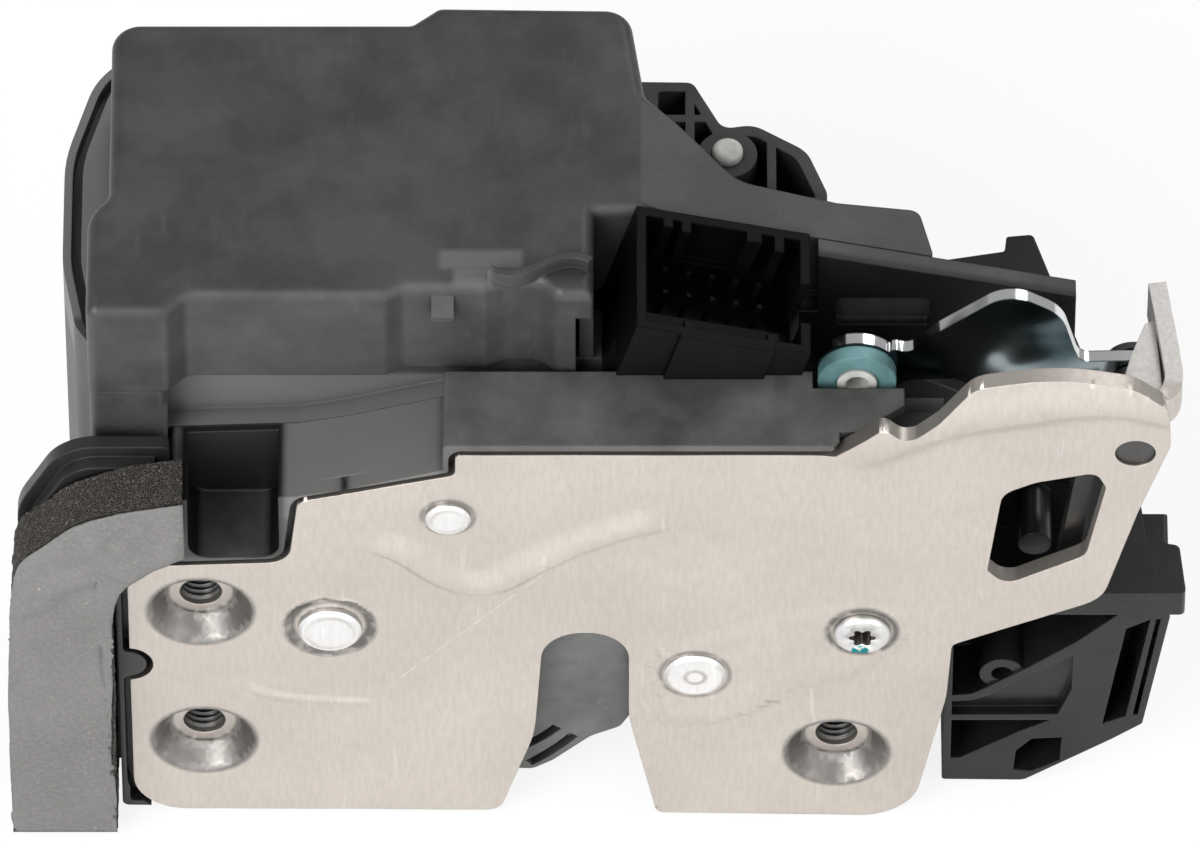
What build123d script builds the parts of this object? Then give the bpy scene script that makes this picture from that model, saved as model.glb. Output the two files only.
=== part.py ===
"""Vehicle door latch with its lock actuator, built as separate pieces in one frame.

Millimetres.  X runs along the face plate to the right, Y goes from the face plate back into
the door, Z is up.  The origin is the axis of the lower left fixing hole at the plate's front.
"""

# %% Imports
import os
from math import cos, pi, radians, sin, tan

from build123d import *

os.makedirs("parts", exist_ok=True)

# %% Driving dimensions
hole_pitch = 30.0        # between the two left fixing holes
hole_right = (90.0, -3.0)
thread_r = 3.0           # M6 fixing threads
dimple_r = 7.3
dimple_depth = 3.6
plate_t = 2.5
tab_depth = 20.3         # how far the arm's end is bent back
tab_top = 79.0
tab_bottom = 71.8       # above the lever

ratchet_at = (69.75, 16.2)
pawl_at = (18.2, 26.5)
guide_at = (35.0, 51.8)
screw_at = (93.3, 25.8)
lever_at = (130.9, 66.3)

tray_front_t = 1.6       # tray wall behind the face plate
layer_gap = 0.15         # side play of the moving plates
ratchet_t = 5.0
spring_room = 3.8
back_plate_t = 1.8
lip_gap = 0.95           # dark line between the plate and the tray's lip
cover_top = 68.0
pin_play = 0.05          # radial running fit of the pivots
rivet_hole_r = 4.0
guide_r = 2.2
screw_r = 2.0
lever_pin_r = 2.85

ratchet_journal_r = 5.5
pawl_journal_r = 4.5
ratchet_rim_r = 29.0

foam_front = -4.0        # the seal stands proud of the plate
foam_back = 4.0
tape_t = 0.5
soft_gap = 0.3           # room left round the seal and its tape

panel_top = 85.0
panel_t = 2.0
skirt_bottom = 67.0
base_bottom = 24.0
wall = 2.0
slope_from = 62.0        # the top panel falls towards the connector from here
slope_deg = 14.5
band_y = 13.4            # front of the actuator cover's skirt
recess_y = 16.4          # front of the base, under the skirt
bar_y = 25.5
bar_t = 3.0
bar_end = 123.0

socket_w = 25.0
socket_d = 21.8
socket_y = 7.0
socket_rim = panel_top + 1.0
socket_wall = 1.4

wing_top = 27.5
wing_t = 5.0
window_wall_y = 17.0     # upright wall seen through the arm's window

lever_t = 2.0
lever_y = 13.6
rod_eye = (92.2, 67.9)

gear_module = 1.0
wheel_teeth = 30
pinion_teeth = 10
sector_teeth = 40        # teeth of the full circle that the sector is part of
worm_r = 3.6             # pitch radius
motor_r = 12.0
motor_len = 28.0
wheel_at = (14.0, 53.0)
gear_z = 46.0
gear_t = 8.0

# %% Depths worked out from the stack of plates
tray_y = plate_t
ratchet_y = plate_t + tray_front_t + layer_gap
spring_y = ratchet_y + ratchet_t + layer_gap
back_y = spring_y + spring_room
back_end = back_y + back_plate_t


# %% Helpers
def at_y(y):
    """Plane facing the viewer at depth y: local x is X, local y is Z."""
    return Plane.XZ.offset(-y)


def rounded(corners):
    """Edges of a closed outline from (x, y, radius) corners."""
    with BuildLine() as line:
        points = [(x, y) for x, y, r in corners]
        FilletPolyline(*points, radius=[r for x, y, r in corners], close=True)
    return line.edges()


def polar(centre, radius, angle):
    """Point at a radius and an angle in degrees from a centre."""
    return (centre[0] + radius * cos(radians(angle)), centre[1] + radius * sin(radians(angle)))


def save(builder, name):
    """Label a finished piece and write its file."""
    builder.part.label = name
    export_step(builder.part, f"parts/{name}.step")


# %% Outlines in X and Z
slot_corners = [(42.0, -16.6, 2.5), (47.0, 1.5, 30.0), (48.3, 25.1, 5.9), (60.4, 25.1, 5.9),
                (60.4, 5.0, 30.0), (64.4, -17.2, 1.5)]
plate_corners = [(-10.2, -16.2, 7.5)] + slot_corners + [
    (100.6, -18.0, 8.5), (105.4, 10.0, 30.0), (106.0, 22.3, 1.5), (127.0, 33.0, 6.0),
    (131.6, 53.0, 25.0), (135.8, 68.0, 4.0), (135.2, 78.4, 3.0), (130.4, 82.4, 8.0),
    (120.0, 84.4, 30.0), (108.4, 82.0, 5.0), (103.4, 75.2, 3.0), (99.2, 70.9, 2.2),
    (95.8, 73.4, 1.2), (89.0, 65.8, 0.8), (36.1, 65.8, 1.0), (36.1, 61.2, 1.5),
    (14.0, 55.2, 2.0), (12.6, 41.4, 3.5), (-10.2, 40.3, 5.5)]
window_corners = [(113.3, 36.2, 2.5), (110.7, 39.5, 1.0), (112.5, 57.0, 3.5), (117.0, 59.6, 6.0),
                  (125.6, 61.9, 1.8), (127.0, 58.5, 1.5), (124.5, 43.0, 3.0)]
notch_at = (-10.6, 17.8)
notch_r = 3.7

# %% Face plate: stamped, with its arm's end bent back and three drawn and threaded dimples
fixing_holes = [(0, 0), (0, hole_pitch), hole_right]

with BuildPart() as face_plate:
    with BuildSketch(at_y(0)):
        make_face(rounded(plate_corners))
        with Locations(notch_at):
            Circle(notch_r, mode=Mode.SUBTRACT)
    extrude(amount=-plate_t)
    with BuildSketch(Plane.XY.offset(tab_bottom)):
        with BuildLine():
            FilletPolyline((131.5, plate_t / 2), (136.6, plate_t / 2), (134.0, tab_depth),
                           radius=4.0)
        trace(line_width=plate_t)
    extrude(amount=tab_top - tab_bottom)
    with BuildSketch(Plane.XY.offset(tab_top - 3.6)):
        with BuildLine():
            Polyline((127.6, plate_t - 1.0), (134.6, plate_t - 1.0), (133.6, 15.0), (132.2, 14.2),
                     close=True)
        make_face()
    extrude(amount=plate_t - 0.5)
    with BuildSketch(at_y(0)):
        make_face(rounded(window_corners))
    extrude(amount=-plate_t, mode=Mode.SUBTRACT)
    with BuildSketch(at_y(0)):
        with Locations(fixing_holes):
            Circle(dimple_r + 0.6)
    extrude(amount=-(dimple_depth + plate_t))
    for x, z in fixing_holes:
        with BuildSketch(at_y(0)):
            with Locations((x, z)):
                Circle(dimple_r)
        extrude(amount=-dimple_depth, taper=32, mode=Mode.SUBTRACT)
    with BuildSketch(at_y(0)):
        with Locations(fixing_holes):
            Circle(thread_r)
        with Locations(ratchet_at, pawl_at):
            Circle(rivet_hole_r)
        with Locations(guide_at):
            Circle(guide_r)
        with Locations(screw_at):
            Circle(screw_r + 0.1)
        with Locations(lever_at):
            Circle(lever_pin_r)
    extrude(amount=-20, mode=Mode.SUBTRACT)
save(face_plate, "face_plate")

# %% Latch housing: the tray behind the plate, with its lip, top cover and pocket
tray_corners = [(-11.9, -15.4, 1.0)] + slot_corners + [
    (99.5, -17.3, 8.5), (104.6, 10.0, 30.0), (104.4, 62.8, 1.0), (92.6, 62.8, 0.5),
    (88.6, cover_top, 0.5), (34.4, cover_top, 0.8), (34.4, 62.4, 0.5),
    (20.7, 58.0, 4.0), (13.9, 56.4, 4.0), (-3.8, 55.6, 0.5), (-3.8, 45.5, 0.5),
    (-11.9, 44.0, 3.0)]
cavity_corners = [(9.8, 14.5, 3.0), (9.8, 37.0, 3.0), (24.0, 52.5, 3.0), (37.5, 61.0, 2.0),
                  (97.5, 61.0, 3.0), (97.5, 8.0, 3.0), (82.0, -13.5, 3.0), (32.0, -13.5, 3.0)]
pocket_x = (-1.5, 11.3)
pocket_floor = 42.4
flange_corners = [(-25.0, -15.4, 2.0), (-12.5, -15.4, 0.5), (-12.5, 46.0, 3.0),
                  (-4.0, 46.0, 0.5), (-4.0, 59.4, 1.0), (-19.0, 59.4, 8.0),
                  (-25.6, 46.0, 12.0)]
flange_back = 8.5
flange_rim = 6.4
boss_r = 3.4

with BuildPart() as latch_housing:
    with BuildSketch(at_y(0)):
        make_face(rounded(tray_corners))
    extrude(amount=-back_y)
    with BuildSketch(Plane.XY.offset(cover_top - 6.0)):
        with Locations((97.0, back_y)):
            Rectangle(22.0, 6.0)
    extrude(amount=8.0, mode=Mode.SUBTRACT)
    with BuildSketch(Plane.XY.offset(cover_top)):
        with BuildLine():
            Polyline((84.0, 0.0), (88.7, 0.0), (98.8, 7.2), (98.8, back_y - 3.0),
                     (84.0, back_y - 3.0), close=True)
        make_face()
    extrude(amount=-1.8)
    with BuildSketch(at_y(flange_rim)):
        make_face(rounded(flange_corners))
    extrude(amount=-(flange_back - flange_rim))
    with BuildSketch(at_y(foam_back + soft_gap)):
        make_face(rounded(flange_corners))
        offset(amount=-2.0)
        with Locations((-12.0, 20.0)):
            Rectangle(3.0, 60.0)
    extrude(amount=-(flange_back - foam_back - soft_gap))
    with BuildSketch(at_y(0)):
        make_face(rounded(plate_corners))
        with Locations(notch_at):
            Circle(notch_r, mode=Mode.SUBTRACT)
        offset(amount=lip_gap, kind=Kind.ARC)
    extrude(amount=-plate_t, mode=Mode.SUBTRACT)
    with BuildSketch(at_y(tray_y + tray_front_t)):
        make_face(rounded(cavity_corners))
        with Locations(guide_at, screw_at):
            Circle(boss_r, mode=Mode.SUBTRACT)
        with Locations(hole_right):
            Circle(thread_r + 1.4, mode=Mode.SUBTRACT)
    extrude(amount=-(back_y - tray_y - tray_front_t), mode=Mode.SUBTRACT)
    with BuildSketch(at_y(0)):
        with Locations(((pocket_x[0] + pocket_x[1]) / 2, pocket_floor + 10)):
            RectangleRounded(pocket_x[1] - pocket_x[0], 20.0, 3.0)
        with Locations(((pocket_x[0] + pocket_x[1]) / 2, pocket_floor + 15)):
            Rectangle(pocket_x[1] - pocket_x[0], 20.0)
    extrude(amount=-(back_y - 1.2), mode=Mode.SUBTRACT)
    with BuildSketch(at_y(0)):
        with Locations(fixing_holes):
            Circle(dimple_r + 0.9)
    extrude(amount=-(dimple_depth + plate_t + 0.2), mode=Mode.SUBTRACT)
    with BuildSketch(at_y(0)):
        with Locations(fixing_holes):
            Circle(thread_r + 0.4)
        with Locations(ratchet_at):
            Circle(ratchet_journal_r + 0.2)
        with Locations(pawl_at):
            Circle(pawl_journal_r + 0.2)
        with Locations(guide_at):
            Circle(guide_r + 0.1)
        with Locations(screw_at):
            Circle(screw_r + 0.1)
    extrude(amount=-back_y, mode=Mode.SUBTRACT)
    with BuildSketch(at_y(0)):
        with Locations((-9.6, -12.8)):
            RectangleRounded(2.4, 3.4, 0.8)
    extrude(amount=-plate_t, mode=Mode.SUBTRACT)
save(latch_housing, "latch_housing")

# %% Back plate: carries the rear ends of the rivets
back_plate_corners = [(5.0, 8.0, 3.0), (5.0, 44.0, 3.0), (29.0, 55.8, 3.0), (43.0, 55.8, 3.0),
                      (54.0, 48.0, 5.0), (100.0, 48.0, 3.0), (100.0, 5.0, 3.0),
                      (84.0, -15.0, 3.0), (65.5, -15.0, 2.0), (61.4, 4.0, 20.0),
                      (61.4, 26.2, 6.3), (46.8, 26.2, 6.3), (45.6, 3.0, 20.0), (40.0, -14.0, 2.0),
                      (30.0, -14.0, 3.0)]
with BuildPart() as back_plate:
    with BuildSketch(at_y(back_y)):
        make_face(rounded(back_plate_corners))
        with Locations(ratchet_at, pawl_at):
            Circle(rivet_hole_r, mode=Mode.SUBTRACT)
        with Locations(guide_at):
            Circle(guide_r, mode=Mode.SUBTRACT)
        with Locations(screw_at):
            Circle(screw_r, mode=Mode.SUBTRACT)
        with Locations(hole_right):
            Circle(4.0, mode=Mode.SUBTRACT)
    extrude(amount=-back_plate_t)
save(back_plate, "back_plate")


# %% Rivets and the cover screw
def rivet(at, head_r, journal_r, shank_r, name):
    """Stepped rivet: front head, journal through the plates, rear head behind the back plate."""
    steps = [(head_r, -1.2, 0.0), (shank_r, 0.0, plate_t), (journal_r, plate_t, back_y),
             (shank_r, back_y, back_end), (head_r - 1.0, back_end, back_end + 1.0)]
    with BuildPart() as pin:
        for radius, start, end in steps:
            with BuildSketch(at_y(start)):
                with Locations(at):
                    Circle(radius)
            extrude(amount=-(end - start))
        front = pin.edges().filter_by(GeomType.CIRCLE).sort_by(Axis.Y)[0]
        chamfer(front, 0.5)
    save(pin, name)


rivet(ratchet_at, 4.4, ratchet_journal_r, rivet_hole_r, "ratchet_rivet")
rivet(pawl_at, 4.5, pawl_journal_r, rivet_hole_r, "pawl_rivet")

with BuildPart() as guide_rivet:
    for radius, start, end in [(3.2, -0.9, 0.0), (guide_r, 0.0, back_end),
                               (3.2, back_end, back_end + 0.8)]:
        with BuildSketch(at_y(start)):
            with Locations(guide_at):
                Circle(radius)
        extrude(amount=-(end - start))
    chamfer(guide_rivet.edges().filter_by(GeomType.CIRCLE).sort_by(Axis.Y)[0], 0.4)
save(guide_rivet, "guide_rivet")

screw_head_r = 4.0
screw_head_t = 1.5
with BuildPart() as cover_screw:
    with BuildSketch(at_y(-screw_head_t)):
        with Locations(screw_at):
            Circle(screw_head_r)
    extrude(amount=-screw_head_t)
    chamfer(cover_screw.edges().filter_by(GeomType.CIRCLE).sort_by(Axis.Y)[0], 0.5)
    with BuildSketch(at_y(0)):
        with Locations(screw_at):
            Circle(screw_r)
    extrude(amount=-(back_end + 1.0))
    with BuildSketch(at_y(-screw_head_t)):
        with Locations(screw_at):
            Circle(1.35)
            with PolarLocations(1.35, 6):
                Circle(0.5)
    extrude(amount=-1.0, mode=Mode.SUBTRACT)
save(cover_screw, "cover_screw")

# %% Ratchet: steel fork in a plastic overmould, drawn in its open position about its pivot
tooth_angle = 187.0
rim_start = 106.0
body_r = 17.0
hook_r = 21.0
overmould_t = 1.4
leg = [(-9.3, -16.0, 2.0), (-10.6, -18.6, 2.0), (-14.8, -20.9, 4.0), (-20.2, -26.6, 3.0),
       (-23.0, -28.6, 2.0), (-29.0, -28.4, 4.0), (-32.4, -19.0, 5.0), (-27.0, -5.0, 1.0)]
rim = [(ratchet_rim_r * cos(radians(a)), ratchet_rim_r * sin(radians(a)), 0.8)
       for a in (tooth_angle, 172.0, 157.0, 142.0, 128.0, 117.0, rim_start)]
body = [(body_r * cos(radians(a)), body_r * sin(radians(a)), 6.0) for a in (88.0, 40.0, -10.0)]
hook = [(hook_r * cos(radians(a)), hook_r * sin(radians(a)), 1.5) for a in (-62.0, -80.0)]
throat = [(3.4, -15.0, 0.8), (1.5, -9.6, 3.0), (-7.2, -9.6, 3.0)]
fork_corners = [(ratchet_at[0] + x, ratchet_at[1] + z, r)
                for x, z, r in leg + rim + body + hook + throat]
slot_paths = [[(-23.6, -27.3), (-21.0, -25.0), (-17.2, -20.6)],
              [(-27.5, -25.0), (-23.5, -22.6), (-19.6, -18.7)]]

with BuildPart() as ratchet_core:
    with BuildSketch(at_y(ratchet_y + 0.9)):
        make_face(rounded(fork_corners))
        offset(amount=-overmould_t)
        with Locations(ratchet_at):
            Circle(ratchet_journal_r + 2.6, mode=Mode.SUBTRACT)
        with Locations((ratchet_at[0] - 26.0, ratchet_at[1] - 24.0)):
            Rectangle(16.0, 18.0, mode=Mode.SUBTRACT)
    extrude(amount=-(ratchet_t - 1.8))
save(ratchet_core, "ratchet_core")

with BuildPart() as ratchet:
    with BuildSketch(at_y(ratchet_y)):
        make_face(rounded(fork_corners))
        with Locations(ratchet_at):
            Circle(ratchet_journal_r + pin_play, mode=Mode.SUBTRACT)
    extrude(amount=-ratchet_t)
    add(ratchet_core.part, mode=Mode.SUBTRACT)
    for path in slot_paths:
        with BuildSketch(at_y(ratchet_y)):
            with BuildLine():
                Spline(*[(ratchet_at[0] + x, ratchet_at[1] + z) for x, z in path])
            trace(line_width=1.5)
        extrude(amount=-ratchet_t, mode=Mode.SUBTRACT)
save(ratchet, "ratchet")

# %% Pawl: long arm from its rivet to the ratchet's rim
pawl_corners = [(11.5, 22.0, 5.0), (11.5, 32.0, 5.0), (22.0, 38.5, 12.0), (33.0, 44.3, 20.0),
                (48.0, 49.3, 8.0), (58.5, 49.0, 2.0), (57.7, 42.75, 0.6), (53.5, 42.9, 2.0),
                (47.0, 41.8, 10.0), (34.0, 36.5, 15.0), (25.0, 27.5, 4.0), (24.0, 19.5, 5.0)]
with BuildPart() as pawl:
    with BuildSketch(at_y(ratchet_y)):
        make_face(rounded(pawl_corners))
        with Locations(pawl_at):
            Circle(pawl_journal_r + pin_play, mode=Mode.SUBTRACT)
    extrude(amount=-ratchet_t)
save(pawl, "pawl")


# %% Springs on the rivets: coils with a straight tail at each end
def coil(at, radius, wire, turns, tail, name):
    """Torsion spring round a rivet, wound from wire of the given radius."""
    rise = 2.3 * wire
    with BuildPart() as spring:
        with BuildLine():
            path = Helix(rise, turns * rise, radius, direction=(0, 1, 0),
                         center=(at[0], spring_y + wire + 0.2, at[1]))
        with BuildSketch(Plane(origin=path @ 0, z_dir=path % 0)):
            Circle(wire)
        sweep(path=path, is_frenet=True)
        for end, outwards in ((path @ 0, path % 0 * -1), (path @ 1, path % 1)):
            with BuildSketch(Plane(origin=end, z_dir=(outwards.X, 0, outwards.Z))):
                Circle(wire)
            extrude(amount=tail)
    save(spring, name)


coil(ratchet_at, 7.4, 0.7, 1.25, 9.0, "ratchet_spring")
coil(pawl_at, 6.2, 0.6, 1.5, 5.0, "pawl_spring")

with BuildPart() as striker_bumper:
    with BuildSketch(at_y(spring_y + 0.2)):
        with Locations((54.3, 30.2)):
            RectangleRounded(16.0, 6.0, 1.5)
    extrude(amount=-(back_y - spring_y - 0.2))
save(striker_bumper, "striker_bumper")

# %% Foam seal and the tape on its front
foam_corners = [(-25.2, -16.0, 1.0), (-13.0, -15.9, 0.5), (-13.0, 40.0, 9.0),
                (-1.9, 48.3, 1.0), (-1.9, 60.2, 0.5), (-19.0, 58.4, 14.0), (-27.2, 42.0, 14.0),
                (-27.4, 8.0, 40.0)]
with BuildPart() as tray_room:
    with BuildSketch(at_y(-soft_gap)):
        make_face(rounded(tray_corners))
        offset(amount=soft_gap)
    extrude(amount=-2 * foam_back)

with BuildPart() as foam_seal:
    with BuildSketch(at_y(foam_front)):
        make_face(rounded(foam_corners))
    extrude(amount=-(foam_back - foam_front))
    add(tray_room.part, mode=Mode.SUBTRACT)
save(foam_seal, "foam_seal")

with BuildPart() as seal_tape:
    with BuildSketch(at_y(foam_front - tape_t - soft_gap)):
        make_face(rounded(foam_corners))
    extrude(amount=-tape_t)
save(seal_tape, "seal_tape")


# %% Actuator cover: top panel with its skirt, open below
tower_y = band_y - 3.0
clip_y = band_y + 1.4    # wall with the clip, set back from the skirt
socket_back = socket_y + socket_d - 0.4
cutout_back = socket_back + 0.3
panel_corners = [(-15.2, tower_y, 1.5), (-15.2, 28.0, 6.0), (-12.3, 31.5, 3.0),
                 (-12.3, 62.5, 4.0), (29.8, 62.5, 1.5), (33.6, 65.6, 2.0), (60.4, 65.2, 4.0),
                 (62.6, 49.6, 3.0), (75.5, 36.4, 6.0), (89.5, 35.4, 4.0), (101.0, 36.4, 1.5),
                 (103.0, cutout_back, 0.5), (55.4, cutout_back, 0.5), (55.4, band_y + 0.2, 0.5),
                 (50.4, band_y + 0.2, 2.0), (47.8, band_y + 2.6, 2.5), (43.0, band_y + 2.6, 2.5),
                 (40.4, clip_y, 0.3), (28.8, clip_y, 2.0), (26.4, band_y, 2.0),
                 (-1.3, band_y, 2.0), (-4.2, tower_y, 2.0)]


def above_slope(drop, top):
    """Profile in X and Z of what lies above the sloping part of the panel."""
    end = 140.0
    fall = (end - slope_from) * tan(radians(slope_deg))
    return [(slope_from, panel_top - drop), (end, panel_top - drop - fall), (end, top),
            (slope_from - 60, top), (slope_from - 60, panel_top - drop)]


with BuildPart() as cover_cavity:
    with BuildSketch(Plane.XY.offset(skirt_bottom)):
        make_face(rounded(panel_corners))
        offset(amount=-wall)
    extrude(amount=panel_top - panel_t - skirt_bottom)
    with BuildSketch(at_y(0)):
        with BuildLine():
            Polyline(*above_slope(panel_t, panel_top + 10), close=True)
        make_face()
    extrude(amount=-90, mode=Mode.SUBTRACT)

with BuildPart() as actuator_cover:
    with BuildSketch(Plane.XY.offset(skirt_bottom)):
        make_face(rounded(panel_corners))
    extrude(amount=panel_top - skirt_bottom)
    rim_edges = actuator_cover.faces().sort_by(Axis.Z)[-1].outer_wire().edges()
    fillet(rim_edges.filter_by(lambda e: e.center().Y > 12 and e.center().X < 61), 1.8)
    with BuildSketch(at_y(0)):
        with BuildLine():
            Polyline(*above_slope(0, panel_top + 10), close=True)
        make_face()
    extrude(amount=-90, mode=Mode.SUBTRACT)
    add(cover_cavity.part, mode=Mode.SUBTRACT)
    with BuildSketch(Plane.YZ.offset(32.8)):
        with BuildLine():
            Polyline((clip_y + 0.5, 83.8), (clip_y - 1.8, 80.3), (clip_y - 1.8, 79.2),
                     (clip_y + 0.5, 79.2), close=True)
        make_face()
    extrude(amount=3.2)
    with BuildSketch(at_y(band_y - 1.0)):
        with Locations((54.4, 73.2)):
            Rectangle(3.0, 12.4)
    extrude(amount=-4.0, mode=Mode.SUBTRACT)
    with BuildSketch(Plane.XY.offset(panel_top - 0.5)):
        with BuildLine():
            Spline((40.9, 16.6), (45.3, 15.9), (49.6, 18.2), (55.0, 18.0))
        trace(line_width=1.1)
    extrude(amount=2.6)
save(actuator_cover, "actuator_cover")

# %% Actuator base: lower shell with the rounded left side, ribbed web and bar wall
base_corners = [(-13.5, recess_y, 3.0), (-17.2, 22.0, 6.0), (-19.2, 33.0, 25.0),
                (-19.2, 52.0, 25.0), (-14.5, 68.5, 12.0), (2.0, 76.2, 12.0), (33.0, 75.6, 8.0),
                (43.0, 66.4, 5.0), (69.4, 66.0, 1.5), (73.6, 57.6, 2.0), (78.0, 58.3, 4.0),
                (85.5, 53.5, 5.0), (88.3, 46.0, 3.0), (88.3, bar_y + bar_t, 0.5),
                (62.5, bar_y + bar_t, 0.5), (62.5, recess_y, 1.0)]
web_corners = [(64.5, 64.4, 0.5), (68.6, 64.4, 0.5), (72.6, 55.8, 1.0), (78.0, 56.4, 3.0),
               (84.0, 52.3, 4.0), (86.6, 45.5, 2.0), (86.6, 39.5, 0.5), (76.8, 39.0, 1.0),
               (64.5, 50.5, 0.5)]
web_top = skirt_bottom
tower_bottom = 48.0
shell_wall = wall + 1.5
pin_at = (74.3, 53.0)
bar_corners = [(62.5, base_bottom), (88.3, base_bottom), (88.3, wing_top), (bar_end, wing_top),
               (bar_end, panel_top - (bar_end - slope_from) * tan(radians(slope_deg))),
               (86.8, panel_top - (86.8 - slope_from) * tan(radians(slope_deg))),
               (86.8, web_top - 1.0), (62.5, web_top - 1.0)]
with BuildPart() as actuator_base:
    with BuildSketch(Plane.XY.offset(base_bottom)):
        make_face(rounded(base_corners))
    extrude(amount=web_top - base_bottom)
    with BuildSketch(Plane.XY.offset(base_bottom + wall)):
        make_face(rounded(base_corners))
        offset(amount=-shell_wall)
        with Locations((86.0, 50.0)):
            Rectangle(44.0, 50.0, mode=Mode.SUBTRACT)
    extrude(amount=web_top - base_bottom - 2 * wall, mode=Mode.SUBTRACT)
    with BuildSketch(Plane.XY.offset(web_top - wall)):
        make_face(rounded(base_corners))
        offset(amount=-shell_wall)
        with Locations((23.5, 43.0)):
            Rectangle(69.0, 36.0, mode=Mode.INTERSECT)
    extrude(amount=wall, mode=Mode.SUBTRACT)
    with BuildSketch(Plane.XY.offset(web_top - 9.0)):
        make_face(rounded(web_corners))
        with Locations(pin_at):
            Circle(4.2, mode=Mode.SUBTRACT)
        for x in (69.0, 74.3, 80.5):
            with Locations((x, 52.0)):
                Rectangle(1.3, 40.0, mode=Mode.SUBTRACT)
        for y in (44.5, 59.5):
            with Locations((76.0, y)):
                Rectangle(30.0, 1.3, mode=Mode.SUBTRACT)
    extrude(amount=9.0, mode=Mode.SUBTRACT)
    with BuildSketch(Plane.XY.offset(web_top - 9.0)):
        with Locations(pin_at):
            Circle(2.25)
    extrude(amount=9.0, mode=Mode.SUBTRACT)
    with BuildSketch(Plane.XY.offset(tower_bottom)):
        with Locations((-9.7, tower_y + 4.0)):
            RectangleRounded(10.8, 8.0, 1.4)
        with Locations((-9.7, tower_y + 6.0)):
            Rectangle(10.8, 4.0)
    extrude(amount=web_top - tower_bottom)
    with BuildSketch(at_y(back_y + 0.2)):
        with BuildLine():
            Polyline((-4.3, 53.2), (13.9, 54.6), (20.7, 56.2), (34.4, 57.2), (41.0, 57.2),
                     (41.0, 62.2), (34.4, 62.2), (20.7, 57.8), (13.9, 56.2), (-4.3, 55.4),
                     close=True)
        make_face()
    extrude(amount=-(recess_y - back_y))
    with BuildSketch(Plane.XY.offset(web_top - 2.5)):
        make_face(rounded(base_corners))
        offset(amount=-1.2)
        make_face(offset(rounded(base_corners), amount=-2.6), mode=Mode.SUBTRACT)
        with Locations((-26.6, 50.0)):
            Rectangle(28.0, 60.0, mode=Mode.INTERSECT)
    extrude(amount=2.5, mode=Mode.SUBTRACT)
    with BuildSketch(at_y(bar_y)):
        with BuildLine():
            Polyline(*bar_corners, close=True)
        make_face()
    extrude(amount=-bar_t)
    with BuildSketch(at_y(bar_y)):
        with Locations((96.0, 66.0), (113.0, 61.5)):
            RectangleRounded(13.0, 6.0, 0.8)
        with Locations((104.0, 54.0)):
            Rectangle(31.0, 9.0)
    extrude(amount=-1.4, mode=Mode.SUBTRACT)
save(actuator_base, "actuator_base")

with BuildPart() as lock_pin:
    with BuildSketch(Plane.XY.offset(web_top - 9.0)):
        with Locations(pin_at):
            Circle(2.25 - pin_play)
    extrude(amount=10.5)
    fillet(lock_pin.faces().sort_by(Axis.Z)[-1].edges(), 1.0)
save(lock_pin, "lock_pin")

# %% Connector socket: tilted with the sloping panel, open upwards
socket_plane = Plane(origin=(slope_from - 0.6, socket_y, socket_rim),
                     x_dir=(cos(radians(slope_deg)), 0, -sin(radians(slope_deg))),
                     z_dir=(sin(radians(slope_deg)), 0, cos(radians(slope_deg))))
socket_foot = cover_top + 7.0
front_depth = 7.5        # of the cavity above the actuator cover's edge
rear_depth = 11.0
socket_step = band_y + 0.4
with BuildPart() as connector_socket:
    with BuildSketch(socket_plane):
        with Locations((socket_w / 2, socket_d / 2 - 0.2)):
            Rectangle(socket_w, socket_d - 0.4)
        with Locations((socket_w / 2 + 0.6, 0)):
            Rectangle(13.6, 1.4)
    extrude(amount=-30.0)
    with BuildSketch(at_y(0)):
        with Locations((70.0, socket_foot - 20.0)):
            Rectangle(60.0, 40.0)
    extrude(amount=-socket_step, mode=Mode.SUBTRACT)
    with BuildSketch(at_y(0)):
        with Locations((70.0, web_top - 20.0 + 0.3)):
            Rectangle(60.0, 40.0)
    extrude(amount=-40.0, mode=Mode.SUBTRACT)
    with BuildSketch(socket_plane):
        with Locations((socket_w / 2, socket_d / 2 - 0.2)):
            Rectangle(socket_w - 2 * socket_wall, socket_d - 0.4 - 2 * socket_wall)
        for x, w, h in ((4.6, 1.4, 1.4), (7.2, 1.4, 1.8), (17.0, 2.2, 1.6), (20.6, 1.4, 2.6)):
            with Locations((x, socket_d - 0.4 - socket_wall - h / 2)):
                Rectangle(w, h, mode=Mode.SUBTRACT)
        for x in (7.6, 19.6):
            with Locations((x, socket_wall + 0.6)):
                Rectangle(1.5, 1.2, mode=Mode.SUBTRACT)
    extrude(amount=-front_depth, mode=Mode.SUBTRACT)
    with BuildSketch(socket_plane.offset(-front_depth)):
        with Locations((socket_w / 2, 14.0)):
            Rectangle(socket_w - 2 * socket_wall, 10.0)
    extrude(amount=-(rear_depth - front_depth), mode=Mode.SUBTRACT)
    with BuildSketch(socket_plane):
        with Locations((socket_w, socket_d / 2 - 2.0)):
            Rectangle(4.0, 7.0)
    extrude(amount=-6.0, mode=Mode.SUBTRACT)
save(connector_socket, "connector_socket")

with BuildPart() as terminal_pins:
    with BuildSketch(socket_plane.offset(-rear_depth)):
        with Locations((socket_w / 2, 14.0)):
            with GridLocations(3.4, 4.0, 5, 2):
                Rectangle(0.7, 0.7)
    extrude(amount=5.0)
save(terminal_pins, "terminal_pins")

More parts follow.
